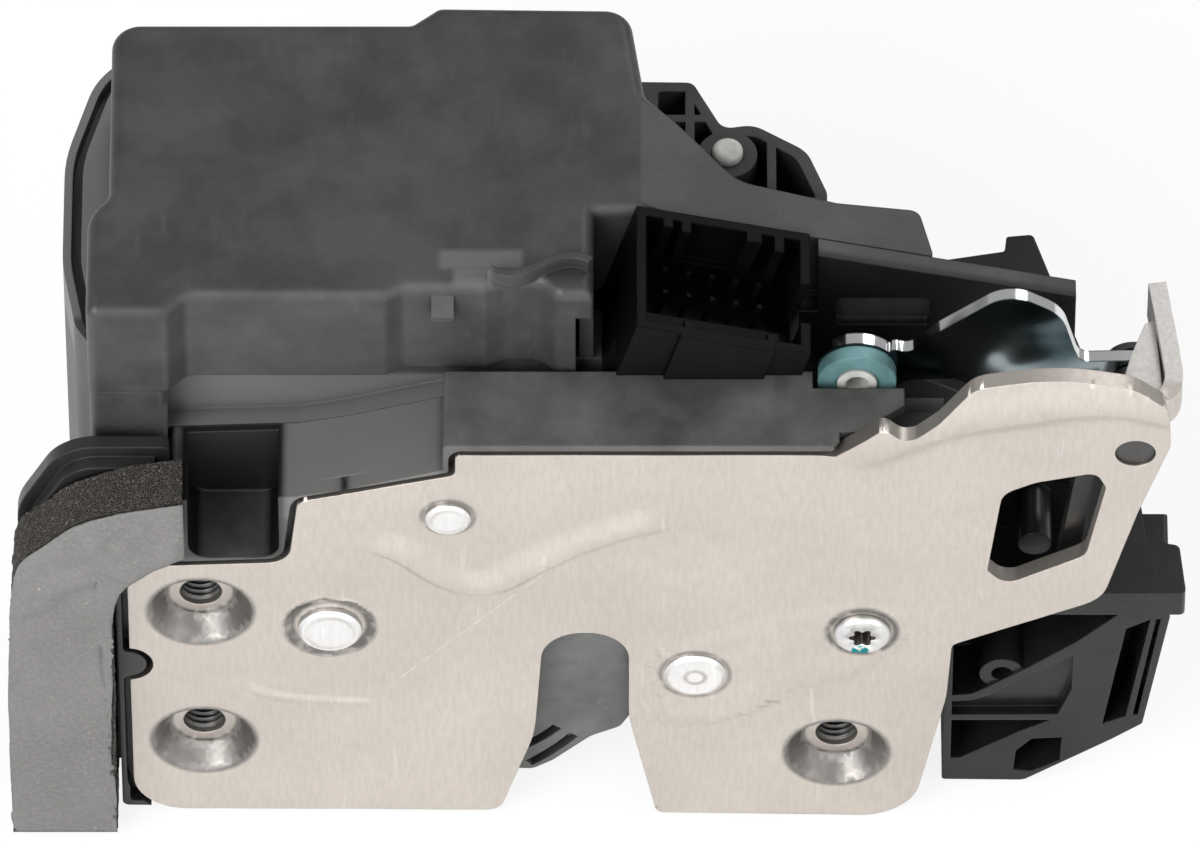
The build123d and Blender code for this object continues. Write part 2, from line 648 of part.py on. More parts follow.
# %% Side housing: wing at the right with its front frame
wing_corners = [(90.5, 59.0, 1.0), (105.0, 65.2, 1.0), (114.3, 66.9, 0.5), (114.6, 69.6, 0.5),
                (118.4, 70.0, 0.8), (132.5, 24.6, 4.0), (133.8, 14.6, 1.0), (138.3, 13.7, 1.0),
                (139.1, 5.2, 0.8), (106.5, 5.2, 0.5), (106.5, 30.0, 0.5), (90.5, 30.0, 0.5)]
frame_y = 5.2
frame_top = wing_top - wing_t
frame_back = 23.2
frame_corners = [(105.2, -16.2, 0.5), (116.9, -16.4, 2.0), (129.2, -6.8, 1.5), (133.6, -3.0, 1.0),
                 (137.0, frame_top, 0.5), (105.2, frame_top, 0.5)]
# pockets in the frame's front: corners and depth
upper_pocket = [(106.4, frame_top), (106.4, 3.6), (109.1, 3.9), (110.8, 5.1), (116.5, 9.6),
                (123.9, 16.2), (129.6, frame_top)]
shallow_pocket = [(106.4, 2.2), (109.4, 2.5), (111.4, 3.6), (123.4, 12.9), (123.4, 5.1),
                  (121.5, -0.9), (106.4, -1.0)]
lower_pocket = [(106.4, -2.2), (120.6, -2.2), (115.6, -5.3), (107.6, -11.2), (106.4, -11.2)]
corner_pocket = [(115.4, -14.0), (115.7, -9.5), (117.9, -6.6), (122.2, -6.3), (122.0, -11.8),
                 (118.0, -14.4)]
side_slot = [(130.8, 19.2), (134.2, 21.4), (131.2, -1.4), (127.9, -3.2)]
side_groove = [(135.0, 21.5), (135.7, 21.5), (132.9, -1.0), (132.2, -1.0)]
with BuildPart() as side_housing:
    with BuildSketch(Plane.XY.offset(wing_top - wing_t)):
        make_face(rounded(wing_corners))
    extrude(amount=wing_t)
    with BuildSketch(at_y(frame_y)):
        make_face(rounded(frame_corners))
    extrude(amount=-(frame_back - frame_y))
    for pocket, depth in ((upper_pocket, 9.0), (shallow_pocket, 1.6), (lower_pocket, 9.0),
                          (corner_pocket, 12.0), (side_slot, 10.0), (side_groove, 3.0)):
        with BuildSketch(at_y(frame_y)):
            with BuildLine():
                Polyline(*pocket, close=True)
            make_face()
        extrude(amount=-depth, mode=Mode.SUBTRACT)
    with BuildSketch(at_y(frame_y + 0.4)):
        with Locations((113.4, 8.2)):
            Circle(3.2)
            Circle(1.5, mode=Mode.SUBTRACT)
    extrude(amount=-8.0)
    with BuildSketch(at_y(window_wall_y)):
        with Locations((115.5, (wing_top - 1.0 + 38.5) / 2)):
            Rectangle(19.0, 38.5 - wing_top + 1.0)
    extrude(amount=-2.0)
    with BuildSketch(at_y(8.0)):
        with Locations((117.6, 35.2)):
            Circle(2.4)
    extrude(amount=-(window_wall_y - 8.0))
    with BuildSketch(at_y(4.4)):
        with BuildLine():
            Polyline((119.6, wing_top - 1.0), (123.0, wing_top - 1.0), (125.6, 57.0),
                     (123.0, 57.0), close=True)
        make_face()
    extrude(amount=-3.0)
save(side_housing, "side_housing")

# %% Outside release lever on its pivot pin, with the rod's grommet
lever_corners = [(96.5, 63.2, 0.4), (99.5, 65.6, 2.0), (108.0, 66.0, 6.0), (118.6, 62.0, 3.0),
                 (119.4, 43.0, 1.0), (123.6, 41.4, 1.0), (125.6, 58.0, 3.0),
                 (129.0, 61.8, 2.0), (134.4, 62.6, 2.5), (134.4, 70.0, 3.4), (123.2, 69.6, 2.0),
                 (120.6, 80.0, 7.0), (113.2, 85.0, 5.0), (103.6, 76.4, 3.0), (99.4, 71.4, 2.0),
                 (96.5, 72.8, 1.0)]
grommet_r = 4.6
with BuildPart() as outside_release_lever:
    with BuildSketch(at_y(lever_y)):
        make_face(rounded(lever_corners))
        with Locations(rod_eye):
            Circle(grommet_r + 1.2)
            Circle(grommet_r, mode=Mode.SUBTRACT)
        with Locations(lever_at):
            Circle(lever_pin_r - 0.85 + pin_play, mode=Mode.SUBTRACT)
    extrude(amount=-lever_t)
save(outside_release_lever, "outside_release_lever")

with BuildPart() as lever_pivot_pin:
    for radius, start, end in [(lever_pin_r, 0.4, lever_y - 0.15),
                               (lever_pin_r - 0.85, lever_y - 0.15, lever_y + lever_t + 0.15),
                               (lever_pin_r + 1.0, lever_y + lever_t + 0.15, lever_y + lever_t + 1.2)]:
        with BuildSketch(at_y(start)):
            with Locations(lever_at):
                Circle(radius)
        extrude(amount=-(end - start))
save(lever_pivot_pin, "lever_pivot_pin")

with BuildPart() as rod_grommet:
    with BuildSketch(at_y(lever_y - 2.2)):
        with Locations(rod_eye):
            Circle(grommet_r + 0.9)
    extrude(amount=-2.15)
    with BuildSketch(at_y(lever_y - 0.05)):
        with Locations(rod_eye):
            Circle(grommet_r)
    extrude(amount=-(lever_t + 1.0))
    with BuildSketch(at_y(lever_y - 3.0)):
        with Locations(rod_eye):
            Circle(2.8)
    extrude(amount=-10.0, mode=Mode.SUBTRACT)
save(rod_grommet, "rod_grommet")

with BuildPart() as grommet_insert:
    with BuildSketch(at_y(lever_y - 2.6)):
        with Locations(rod_eye):
            Circle(2.8)
            Circle(1.6, mode=Mode.SUBTRACT)
    extrude(amount=-(lever_t + 3.8))
save(grommet_insert, "grommet_insert")

# %% Lock motor with its worm, and the worm wheel with its pinion
motor_y = wheel_at[1] - gear_module * wheel_teeth / 2 - worm_r
motor_z = gear_z + gear_t / 2
motor_x = 30.5
shaft_r = 1.0
with BuildPart() as lock_motor:
    with BuildSketch(Plane.YZ.offset(motor_x)):
        with Locations((motor_y, motor_z)):
            Circle(motor_r)
            Rectangle(30.0, 2 * motor_r - 5.0, mode=Mode.INTERSECT)
    extrude(amount=motor_len)
    with BuildSketch(Plane.YZ.offset(motor_x - 2.0)):
        with Locations((motor_y, motor_z)):
            Circle(3.5)
            Circle(shaft_r + 0.3, mode=Mode.SUBTRACT)
    extrude(amount=2.0)
    fillet(lock_motor.faces().sort_by(Axis.X)[-1].edges(), 1.5)
save(lock_motor, "lock_motor")

worm_len = 14.0
worm_x = wheel_at[0] - worm_len / 2
pitch = pi * gear_module
with BuildPart() as worm:
    with BuildSketch(Plane.YZ.offset(worm_x - 4.0)):
        with Locations((motor_y, motor_z)):
            Circle(shaft_r)
    extrude(amount=motor_x - 2.3 - worm_x + 4.0)
    with BuildSketch(Plane.YZ.offset(worm_x)):
        with Locations((motor_y, motor_z)):
            Circle(worm_r - 1.1)
    extrude(amount=worm_len)
    with BuildLine():
        thread = Helix(pitch, 3.5 * pitch, worm_r - 1.2, direction=(1, 0, 0),
                       center=(wheel_at[0] - 1.75 * pitch, motor_y, motor_z))
    with BuildSketch(Plane(origin=thread @ 0, x_dir=(1, 0, 0), z_dir=thread % 0)):
        with Locations((0, 0)):
            Trapezoid(1.3, 2.0, 80)
    sweep(path=thread, is_frenet=True)
save(worm, "worm")


def gear(centre, teeth, root_r, tip_r, tooth_w, bore_r, start=0.0):
    """Fill the current sketch with a straight-toothed wheel."""
    with Locations(centre):
        Circle(root_r)
        with PolarLocations((root_r + tip_r) / 2 - 0.1, teeth, start):
            with Locations(Rotation(0, 0, -90)):
                Trapezoid(tooth_w * 1.35, tip_r - root_r + 0.2, 76)
        Circle(bore_r, mode=Mode.SUBTRACT)


wheel_r = gear_module * wheel_teeth / 2
pinion_r = gear_module * pinion_teeth / 2
axle_r = 2.0
with BuildPart() as worm_wheel:
    with BuildSketch(Plane.XY.offset(gear_z)):
        gear(wheel_at, wheel_teeth, wheel_r - 1.2, wheel_r + 0.9, 1.1, axle_r + pin_play)
    extrude(amount=gear_t)
    with BuildSketch(Plane.XY.offset(gear_z + gear_t)):
        gear(wheel_at, pinion_teeth, pinion_r - 1.2, pinion_r + 0.8, 1.2, axle_r + pin_play,
             180 / pinion_teeth)
    extrude(amount=4.0)
save(worm_wheel, "worm_wheel")

with BuildPart() as wheel_axle:
    with BuildSketch(Plane.XY.offset(base_bottom + wall)):
        with Locations(wheel_at):
            Circle(axle_r)
    extrude(amount=gear_z + gear_t + 5.0 - base_bottom - wall)
    with BuildSketch(Plane.XY.offset(base_bottom + wall)):
        with Locations(wheel_at):
            Circle(axle_r + 2.0)
    extrude(amount=gear_z - 0.2 - base_bottom - wall)
save(wheel_axle, "wheel_axle")

# %% Lock lever: toothed sector turned by the pinion
sector_r = gear_module * sector_teeth / 2
lock_at = (wheel_at[0] + pinion_r + sector_r, wheel_at[1])
lock_z = gear_z + gear_t + 0.4
lock_t = 3.0
with BuildPart() as lock_lever:
    with BuildSketch(Plane.XY.offset(lock_z)):
        with Locations(lock_at):
            Circle(sector_r - 1.3)
            with PolarLocations(sector_r - 0.45, sector_teeth):
                with Locations(Rotation(0, 0, -90)):
                    Trapezoid(1.65, 2.0, 76)
        with BuildLine():
            Polyline(lock_at, polar(lock_at, 60, 148), polar(lock_at, 60, 212), close=True)
        make_face(mode=Mode.INTERSECT)
        with Locations(lock_at):
            Circle(4.5)
        with BuildLine():
            Polyline((lock_at[0], lock_at[1] - 3.0), (lock_at[0] + 11.0, lock_at[1] - 2.0),
                     (lock_at[0] + 11.0, lock_at[1] + 2.0), (lock_at[0], lock_at[1] + 3.0),
                     close=True)
        make_face()
        with Locations(lock_at):
            Circle(axle_r + pin_play, mode=Mode.SUBTRACT)
    extrude(amount=lock_t)
save(lock_lever, "lock_lever")

with BuildPart() as lock_axle:
    with BuildSketch(Plane.XY.offset(base_bottom + wall)):
        with Locations(lock_at):
            Circle(axle_r)
    extrude(amount=lock_z + lock_t + 1.0 - base_bottom - wall)
    with BuildSketch(Plane.XY.offset(base_bottom + wall)):
        with Locations(lock_at):
            Circle(axle_r + 1.8)
    extrude(amount=motor_z - motor_r - 1.0 - base_bottom - wall)
save(lock_axle, "lock_axle")

# %% Inside release lever on a pin in the bar wall
inside_at = (112.0, 44.0)
inside_y = bar_y - 4.0
with BuildPart() as inside_release_lever:
    with BuildSketch(at_y(inside_y)):
        make_face(rounded([(94.0, 54.0, 2.5), (95.5, 59.5, 2.5), (110.0, 51.0, 6.0),
                           (117.5, 46.0, 5.5), (114.5, 38.0, 5.5), (106.0, 40.5, 5.0)]))
        with Locations(inside_at):
            Circle(2.5 + pin_play, mode=Mode.SUBTRACT)
        with Locations((97.3, 55.6)):
            Circle(1.4, mode=Mode.SUBTRACT)
    extrude(amount=-2.0)
save(inside_release_lever, "inside_release_lever")

with BuildPart() as inside_lever_pin:
    for radius, start, end in [(3.8, inside_y - 1.2, inside_y - 0.1),
                               (2.5, inside_y - 0.1, bar_y)]:
        with BuildSketch(at_y(start)):
            with Locations(inside_at):
                Circle(radius)
        extrude(amount=-(end - start))
save(inside_lever_pin, "inside_lever_pin")

# %% Case screws under the base
case_screws_at = [(-8.0, 24.0), (-6.0, 66.0), (56.0, 60.0)]
with BuildPart() as case_screws:
    with BuildSketch(Plane.XY.offset(base_bottom - 2.0)):
        with Locations(case_screws_at):
            Circle(3.0)
            Circle(1.2, mode=Mode.SUBTRACT)
    extrude(amount=2.0)
save(case_screws, "case_screws")
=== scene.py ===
"""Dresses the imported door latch: camera, light, finishes, foam seal, tape and fastener detail."""
import math

import bmesh
import bpy
from mathutils import Euler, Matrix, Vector, noise


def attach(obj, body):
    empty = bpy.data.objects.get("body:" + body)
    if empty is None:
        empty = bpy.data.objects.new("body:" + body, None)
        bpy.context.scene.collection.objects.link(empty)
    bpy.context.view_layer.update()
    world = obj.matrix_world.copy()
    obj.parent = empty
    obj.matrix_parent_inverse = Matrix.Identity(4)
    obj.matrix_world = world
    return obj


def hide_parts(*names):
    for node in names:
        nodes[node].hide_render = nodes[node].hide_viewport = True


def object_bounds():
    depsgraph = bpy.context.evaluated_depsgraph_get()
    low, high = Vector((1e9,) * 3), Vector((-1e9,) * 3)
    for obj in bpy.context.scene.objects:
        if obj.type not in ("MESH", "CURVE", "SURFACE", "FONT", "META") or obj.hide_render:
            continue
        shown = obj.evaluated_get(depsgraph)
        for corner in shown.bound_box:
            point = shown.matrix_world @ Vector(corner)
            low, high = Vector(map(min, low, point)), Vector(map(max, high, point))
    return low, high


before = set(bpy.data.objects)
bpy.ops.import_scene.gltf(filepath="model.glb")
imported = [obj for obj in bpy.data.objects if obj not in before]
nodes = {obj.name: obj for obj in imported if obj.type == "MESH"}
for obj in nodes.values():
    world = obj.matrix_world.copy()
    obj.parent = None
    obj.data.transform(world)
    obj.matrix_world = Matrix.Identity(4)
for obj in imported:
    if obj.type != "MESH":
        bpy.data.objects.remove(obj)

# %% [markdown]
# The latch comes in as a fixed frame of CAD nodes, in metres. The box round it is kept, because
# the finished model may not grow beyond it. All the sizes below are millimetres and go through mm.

cad_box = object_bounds()


def mm(*values):
    """Millimetres to metres: one number, or a point."""
    return values[0] / 1000 if len(values) == 1 else Vector(values) / 1000


print("CAD box", [tuple(round(c, 4) for c in p) for p in cad_box])

# %% [markdown]
# A latch is looked at from above its face plate, from a distance. A long lens far away keeps the
# edges nearly parallel, which is how a catalogue picture of a small part is usually taken.

# %% Camera
CAMERA_TILT = math.radians(52.0)
CAMERA_AWAY = 2500.0
AIM = (56.3, 20.0, 47.6)
SENSOR_WIDTH = 36.0
LENS_LENGTH = 532.5
VIEW_END = 10.0


def add_camera():
    """Long lens in front of the plate, looking down on it."""
    lens = bpy.data.cameras.new("latch_camera")
    lens.sensor_width = SENSOR_WIDTH
    lens.lens = LENS_LENGTH
    lens.clip_end = VIEW_END
    camera = bpy.data.objects.new("latch_camera", lens)
    bpy.context.scene.collection.objects.link(camera)
    back = Vector((0, -math.cos(CAMERA_TILT), math.sin(CAMERA_TILT)))
    camera.location = mm(*AIM) + back * mm(CAMERA_AWAY)
    camera.rotation_euler = Euler((math.pi / 2 - CAMERA_TILT, 0, 0))
    bpy.context.scene.camera = camera


add_camera()
print("camera with a", LENS_LENGTH, "mm lens,", CAMERA_AWAY, "mm from the latch")

# %% [markdown]
# Finishes are node trees. Writing node after node is long, so a small class wraps an output socket
# and turns + - * / into Math nodes. A sum such as 0.4 + grain * 0.1 then reads as what it does.


# %% Shader maths as expressions
class Value:
    """An output socket that adds Math nodes when it is used in an expression."""

    def __init__(self, tree, socket):
        self.tree = tree
        self.socket = socket

    def math(self, operation, *others):
        """Add one Math node that takes this value and the others."""
        node = self.tree.nodes.new("ShaderNodeMath")
        node.operation = operation
        for slot, item in zip(node.inputs, (self, *others)):
            connect(self.tree, item, slot)
        return Value(self.tree, node.outputs[0])

    def __add__(self, other):
        return self.math("ADD", other)

    def __sub__(self, other):
        return self.math("SUBTRACT", other)

    def __mul__(self, other):
        return self.math("MULTIPLY", other)

    def __rsub__(self, other):
        return self.math("MULTIPLY", -1.0).math("ADD", other)

    def clamp(self):
        """Keep the value between 0 and 1."""
        return self.math("MINIMUM", 1.0).math("MAXIMUM", 0.0)

    __radd__ = __add__
    __rmul__ = __mul__


def connect(tree, item, slot):
    """Put a value or a link into a socket."""
    if isinstance(item, Value):
        tree.links.new(item.socket, slot)
    elif isinstance(item, (tuple, list, Vector)) and slot.type == "RGBA" and len(item) == 3:
        slot.default_value = (*item, 1.0)
    else:
        slot.default_value = item


# %% [markdown]
# A finish is one material. It starts from the object's own coordinates in metres, so that grain
# has its real size and stays on the piece when the piece moves. Noise, ramps and masks are all
# added through one method, node, and the last call, surface, closes the material.


# %% Building a finish
class Finish:
    """A material under construction."""

    def __init__(self, name):
        self.material = bpy.data.materials.new(name)
        self.material.use_nodes = True
        self.tree = self.material.node_tree
        self.tree.nodes.clear()
        self.place = self.node("ShaderNodeTexCoord", out="Object")

    def node(self, kind, settings=None, inputs=None, out=0):
        """Add a node: settings first, then its sockets, and give back one output."""
        node = self.tree.nodes.new(kind)
        for key, item in (settings or {}).items():
            setattr(node, key, item)
        for key, item in (inputs or {}).items():
            connect(self.tree, item, node.inputs[key])
        return Value(self.tree, node.outputs[out]) if node.outputs else None

    def noise(self, scale, detail=4.0, stretch=(1, 1, 1), rough=0.55, shift=0.0):
        """Fractal noise; scale is per metre, stretch squeezes it along an axis."""
        place = self.node("ShaderNodeMapping", inputs={
            "Vector": self.place, "Scale": stretch, "Location": (shift, shift, shift)})
        return self.node("ShaderNodeTexNoise", inputs={
            "Vector": place, "Scale": scale, "Detail": detail, "Roughness": rough})

    def ramp(self, value, low, high):
        """Spread a value from low..high to 0..1."""
        return self.node("ShaderNodeMapRange", {"clamp": True}, {
            "Value": value, "From Min": low, "From Max": high})

    def axis(self, number):
        """One coordinate of the point: 0, 1 or 2 for X, Y or Z."""
        return self.node("ShaderNodeSeparateXYZ", inputs={0: self.place}, out=number)

    def near(self, x, z, radius, soft):
        """1 within a radius of an axis along Y, falling to 0 over soft; millimetres."""
        square = (self.axis(0) - mm(x)).math("POWER", 2.0)
        square = square + (self.axis(2) - mm(z)).math("POWER", 2.0)
        return self.ramp(square.math("SQRT"), mm(radius + soft), mm(radius))

    def streak(self, x, z, x_end, z_end, width=0.1):
        """1 on a fine line across the front, from one X, Z point to another."""
        length = math.hypot(x_end - x, z_end - z)
        dx, dz = (x_end - x) / length, (z_end - z) / length
        right, up = self.axis(0) - mm(x), self.axis(2) - mm(z)
        off = (right * dz - up * dx).math("ABSOLUTE")
        along = right * dx + up * dz
        ends = self.ramp(along, 0.0, mm(2.0)) * self.ramp(along, mm(length), mm(length - 2.0))
        broken = self.ramp(self.noise(700, 2, shift=0.4), 0.35, 0.6)
        return self.ramp(off, mm(width * 1.6), mm(width * 0.4)) * ends * broken

    def inside(self, low, high, soft=1.0):
        """1 inside a box, falling to 0 over soft outside it; None leaves a side open."""
        share = 1.0
        for number, (a, b) in enumerate(zip(low, high)):
            if a is not None:
                share = self.ramp(self.axis(number), mm(a - soft), mm(a)) * share
            if b is not None:
                share = self.ramp(self.axis(number), mm(b + soft), mm(b)) * share
        return share

    def mix(self, factor, first, second):
        """Blend two colours."""
        return self.node("ShaderNodeMix", {"data_type": "RGBA"},
                         {0: factor, 6: first, 7: second}, 2)

    def bump(self, height, distance, strength=1.0, edge=0.0):
        """Height field as a normal; distance in metres. edge rounds sharp edges, millimetres."""
        sockets = {"Height": height, "Distance": distance, "Strength": strength}
        if edge:
            sockets["Normal"] = self.node("ShaderNodeBevel", {"samples": 4}, {"Radius": mm(edge)})
        return self.node("ShaderNodeBump", inputs=sockets)

    def shade(self, colour, reach, floor=0.4):
        """Painted shade: darken a colour in seams and corners, found by ambient occlusion, over a
        reach in millimetres.
        """
        open_air = self.node("ShaderNodeAmbientOcclusion", {"samples": 4},
                             {"Distance": mm(reach)}, out="AO")
        dark = self.node("ShaderNodeMix", {"data_type": "RGBA", "blend_type": "MULTIPLY"},
                         {0: 1.0, 6: colour, 7: grey(floor)}, 2)
        return self.mix(self.ramp(open_air, 0.25, 0.85), dark, colour)

    def surface(self, **sockets):
        """Principled shader with the given sockets, as the material's surface."""
        names = {key: key.replace("_", " ") for key in sockets}
        shader = self.node("ShaderNodeBsdfPrincipled",
                           inputs={names[key]: item for key, item in sockets.items()})
        self.node("ShaderNodeOutputMaterial", inputs={"Surface": shader})
        return self.material


def grey(level, warmth=0.0):
    """A neutral colour, slightly warm or cool."""
    return (level * (1 + warmth), level, level * (1 - warmth))


# %% [markdown]
# Black moulded plastic is never one flat black. The spark-eroded tool leaves a fine grain that
# scatters the light, and large faces sink a little, so the gloss wanders. Handling leaves pale
# scuffs on top of that. Four noises do it, patches paint highlights and shade on single places,
# and a painted shade darkens the seams and corners.


# %% Moulded plastic
CLOUDS, ERODED, SINKS, SCUFFS = 75, 3800, 110, 420  # noise scales, per metre
WORN = 0.25
GLOSS_WANDER = 0.10
SEAM_REACH = 3.0
MOULDED_EDGE = 0.35


def moulded(name, level, gloss, grain, tint=(1, 1, 1), shine=0.4, patches=()):
    """Moulded plastic: base level, roughness, grain depth in millimetres, and patches, each a
    box (low, high) with the factor its colour takes inside."""
    f = Finish(name)
    cloud = f.noise(CLOUDS, 5, rough=0.65)
    fine = f.noise(ERODED, 2)
    sink = f.noise(SINKS, 2)
    scuff = f.ramp(f.noise(SCUFFS, 5, (1.0, 0.25, 1.0)), 0.60, 0.78)
    dark, pale, rubbed = (tuple(c * level * k for c in tint) for k in (0.72, 1.3, 2.4))
    colour = f.mix(f.ramp(cloud, 0.38, 0.64), dark, pale)
    colour = f.mix(scuff * WORN, colour, rubbed)
    for low, high, factor in patches:
        colour = f.mix(f.inside(low, high), colour, tuple(c * level * factor for c in tint))
    rough = gloss + (cloud - 0.5) * GLOSS_WANDER + scuff * 0.06
    # Painted shade in seams and corners.
    colour = f.shade(colour, SEAM_REACH)
    relief = fine * mm(grain) + sink * mm(0.12)
    return f.surface(Base_Color=colour, Roughness=rough, Specular_IOR_Level=shine,
                     Normal=f.bump(relief, 1.0, 0.7, MOULDED_EDGE))


# %% [markdown]
# The housings come from different tools and batches, so each has its own black: the tray is paler
# and smoother than the cover, and the side housing is glossy. Single places are painted paler or
# darker again: painted highlights where a face meets the light, painted shade where it lies deep or
# in shadow, and on the lid a worn spot with a painted sheen. Each of those is a patch. The
# connector socket hangs in shadow and gets a near-black copy, a painted shade.

# %% Plastics of the latch
BLACK = (1.02, 1.0, 0.97)
# A pale spot on the lid: wear, and a painted sheen where the lid reflects the light.
SHEEN_AND_WEAR_SPOT = [((34.4, 18.5, 84.0), (45.0, 20.8, 88.0), 2.4),
               ((36.4, 16.0, 84.0), (40.8, 17.7, 88.0), 2.4)]
# Painted shade: the pocket's inside is painted nearly black.
POCKET_SHADE = ((-2.0, 0.3, 43.0), (11.5, 12.8, 58.0), 0.06)
# Painted highlight: the flap faces up and forward into the light.
TRAY_FLAP_HIGHLIGHT = ((12.8, -1.0, 52.0), (33.4, 16.0, 78.0), 1.7)
# Painted shade on the flange's face behind the rim.
TRAY_FLANGE_SHADE = ((None, None, None), (-4.0, None, None), 0.25)
# Painted highlight on the ledge's front face, which faces the pale floor and the light.
BASE_LEDGE_HIGHLIGHT = ((-4.0, None, 45.0), (42.0, 17.0, 63.0), 2.6)
# Painted highlight on the rounded left side.
BASE_SIDE_HIGHLIGHT = ((None, 24.0, 60.0), (-11.0, None, None), 3.2)
# Painted shade: the bar's front lies in shadow.
BASE_BAR_SHADE = ((66.0, None, 55.0), (None, 26.0, None), 0.05)
black_grained = moulded("black_grained", 0.034, 0.46, 0.022, BLACK, patches=SHEEN_AND_WEAR_SPOT)
black_tray = moulded("black_tray", 0.062, 0.40, 0.012, BLACK,
                     patches=[POCKET_SHADE, TRAY_FLAP_HIGHLIGHT, TRAY_FLANGE_SHADE])
black_base = moulded("black_base", 0.036, 0.46, 0.022, BLACK,
                     patches=[BASE_LEDGE_HIGHLIGHT, BASE_SIDE_HIGHLIGHT, BASE_BAR_SHADE])
# The connector socket hangs in shadow, so its black is a near-black copy: painted shade.
black_satin_shaded = moulded("black_satin_shaded", 0.002, 0.36, 0.012, BLACK, shine=0.05)
black_gloss = moulded("black_gloss", 0.008, 0.28, 0.006, BLACK, shine=0.3)
grey_overmould = moulded("grey_overmould", 0.075, 0.3, 0.01)
rubber = moulded("bumper_rubber", 0.02, 0.7, 0.03)
white_moulding = moulded("white_moulding", 0.6, 0.38, 0.005, (1, 0.99, 0.95))
teal_look = moulded("teal_moulding", 0.24, 0.4, 0.005, (0.5, 1.0, 1.03))
plastics = (black_grained, black_tray, black_base, black_satin_shaded, black_gloss, grey_overmould,
            rubber, white_moulding, teal_look)
print(len(plastics), "plastics:", *(finish.name for finish in plastics))


# %% [markdown]
# The plate is bare zinc-plated steel. Rolling leaves a fine streaky grain, the bath leaves
# clouds, and handling leaves hair scratches. The fixing cones, where the press has stretched the
# steel, are painted darker as painted shade and carry stains, and staking leaves grime round the
# left rivet. Thin dark rings lie round the other heads. Such places are marked by their distance
# from an axis.


# %% Places on the plate
FIXINGS = ((0.0, 0.0), (0.0, 30.0), (90.0, -3.0))
LEFT_RIVET = (18.2, 26.5)
TOP_RIVET = (35.0, 51.8)
RIGHT_RIVET = (69.75, 16.2)
SCREW = (93.3, 25.8)
print(len(FIXINGS), "fixing holes, 3 rivets and a screw on the plate")

# %% [markdown]
# One function makes every metal. Marks and patches are laid over the cloud and the grain, and the
# whole gets a little painted shade in its seams. Level is how bright the steel reflects, and brush
# is the depth of the rolling marks.


# %% Metals
ROLLING, BATH, SPOTS, HAIRLINES = 1500, 45, 260, 420  # noise scales, per metre
ROLLED = (1.0, 1.0, 0.22)
HAIRLINE = (1.0, 1.0, 0.10)
METAL_EDGE = 0.2
METAL_SEAM = 1.2
PAINT = (0.01, 0.22, 0.24)


def metal(name, level, rough, brush, warmth=0.03, marks=(), patches=(), paint=None,
          scratches=()):
    """Plated steel with rolling marks and stains. Marks are rings (x, z, inner, outer, level,
    and the noise from which they start and are full);
    patches are boxes (low, high, level); paint is a dab (x, z, radius)."""
    f = Finish(name)
    streak = f.noise(ROLLING, 3, ROLLED)
    cloud = f.noise(BATH, 4)
    spots = f.ramp(f.noise(SPOTS, 5, rough=0.6), 0.58, 0.74)
    scratch = f.ramp(f.noise(HAIRLINES, 6, HAIRLINE, rough=0.62, shift=0.3), 0.63, 0.68)
    colour = f.mix(f.ramp(cloud, 0.3, 0.7), grey(level * 0.94, warmth), grey(level * 1.05, warmth))
    for low, high, tone in patches:
        colour = f.mix(f.inside(low, high), colour, grey(tone, 0.03))
    colour = f.mix(f.ramp(streak, 0.35, 0.75) * 0.34, colour, grey(level * 0.72, warmth))
    colour = f.mix(spots * 0.2, colour, grey(level * 0.7, warmth * 1.5))
    colour = f.mix(scratch * 0.35, colour, grey(min(level * 1.35, 0.9), warmth * 0.5))
    for x, z, inner, outer, tone, first, full in marks:
        band = f.near(x, z, outer, 0.7) - (f.near(x, z, inner, 0.5) if inner else 0.0)
        band = band.clamp() * f.ramp(f.noise(330, 4, shift=0.1), first, full)
        colour = f.mix(band, colour, grey(tone, 0.05))
    for line in scratches:
        colour = f.mix(f.streak(*line) * 0.4, colour, grey(0.8, 0.03))
    if paint:
        x, z, radius = paint
        blot = f.near(x, z, radius, 0.25) * f.ramp(f.noise(900, 3), 0.36, 0.44)
        colour = f.mix(blot, colour, PAINT)
    relief = streak * mm(brush) + cloud * mm(0.25)
    # Painted shade in the seams.
    colour = f.shade(colour, METAL_SEAM, 0.3)
    return f.surface(Base_Color=colour, Metallic=1.0, Specular_IOR_Level=0.5,
                     Roughness=rough + (streak - 0.5) * 0.14 + (cloud - 0.5) * 0.08,
                     Normal=f.bump(relief, 1.0, 0.6, METAL_EDGE))


# %% [markdown]
# Each steel is a level, a roughness and a depth of grain. The plate takes the painted shade and
# stains in the fixing cones, dark rings round the heads, the grime round the left rivet, a painted
# highlight on its end tab and the scratches; the rivets only the rings that the staking tool
# leaves, and the screw a dab of marking paint.

# %% Steels of the latch
# Painted shade in the fixing cones, broken by stains.
FIXING_CONE_SHADE_AND_STAINS = [(*fixing, 4.2, 7.4, 0.18, -0.9, 0.58) for fixing in FIXINGS]
# Dark rings round the heads of the rivets and the screw; the wide one round the left rivet is grime
# from staking.
DARK_HEAD_RINGS = [(*LEFT_RIVET, 4.8, 6.3, 0.15, 0.28, 0.56), (*SCREW, 4.1, 4.9, 0.16, 0.3, 0.5),
               (*RIGHT_RIVET, 4.4, 4.8, 0.2, 0.3, 0.5), (*TOP_RIVET, 3.2, 3.6, 0.2, 0.3, 0.5)]
RIVET_MARKS = [(*LEFT_RIVET, 2.9, 3.3, 0.45, 0.3, 0.6), (*TOP_RIVET, 1.9, 2.2, 0.45, 0.3, 0.6),
               (*RIGHT_RIVET, 0.9, 1.3, 0.35, 0.2, 0.5), (*RIGHT_RIVET, 3.5, 3.9, 0.5, 0.3, 0.6)]
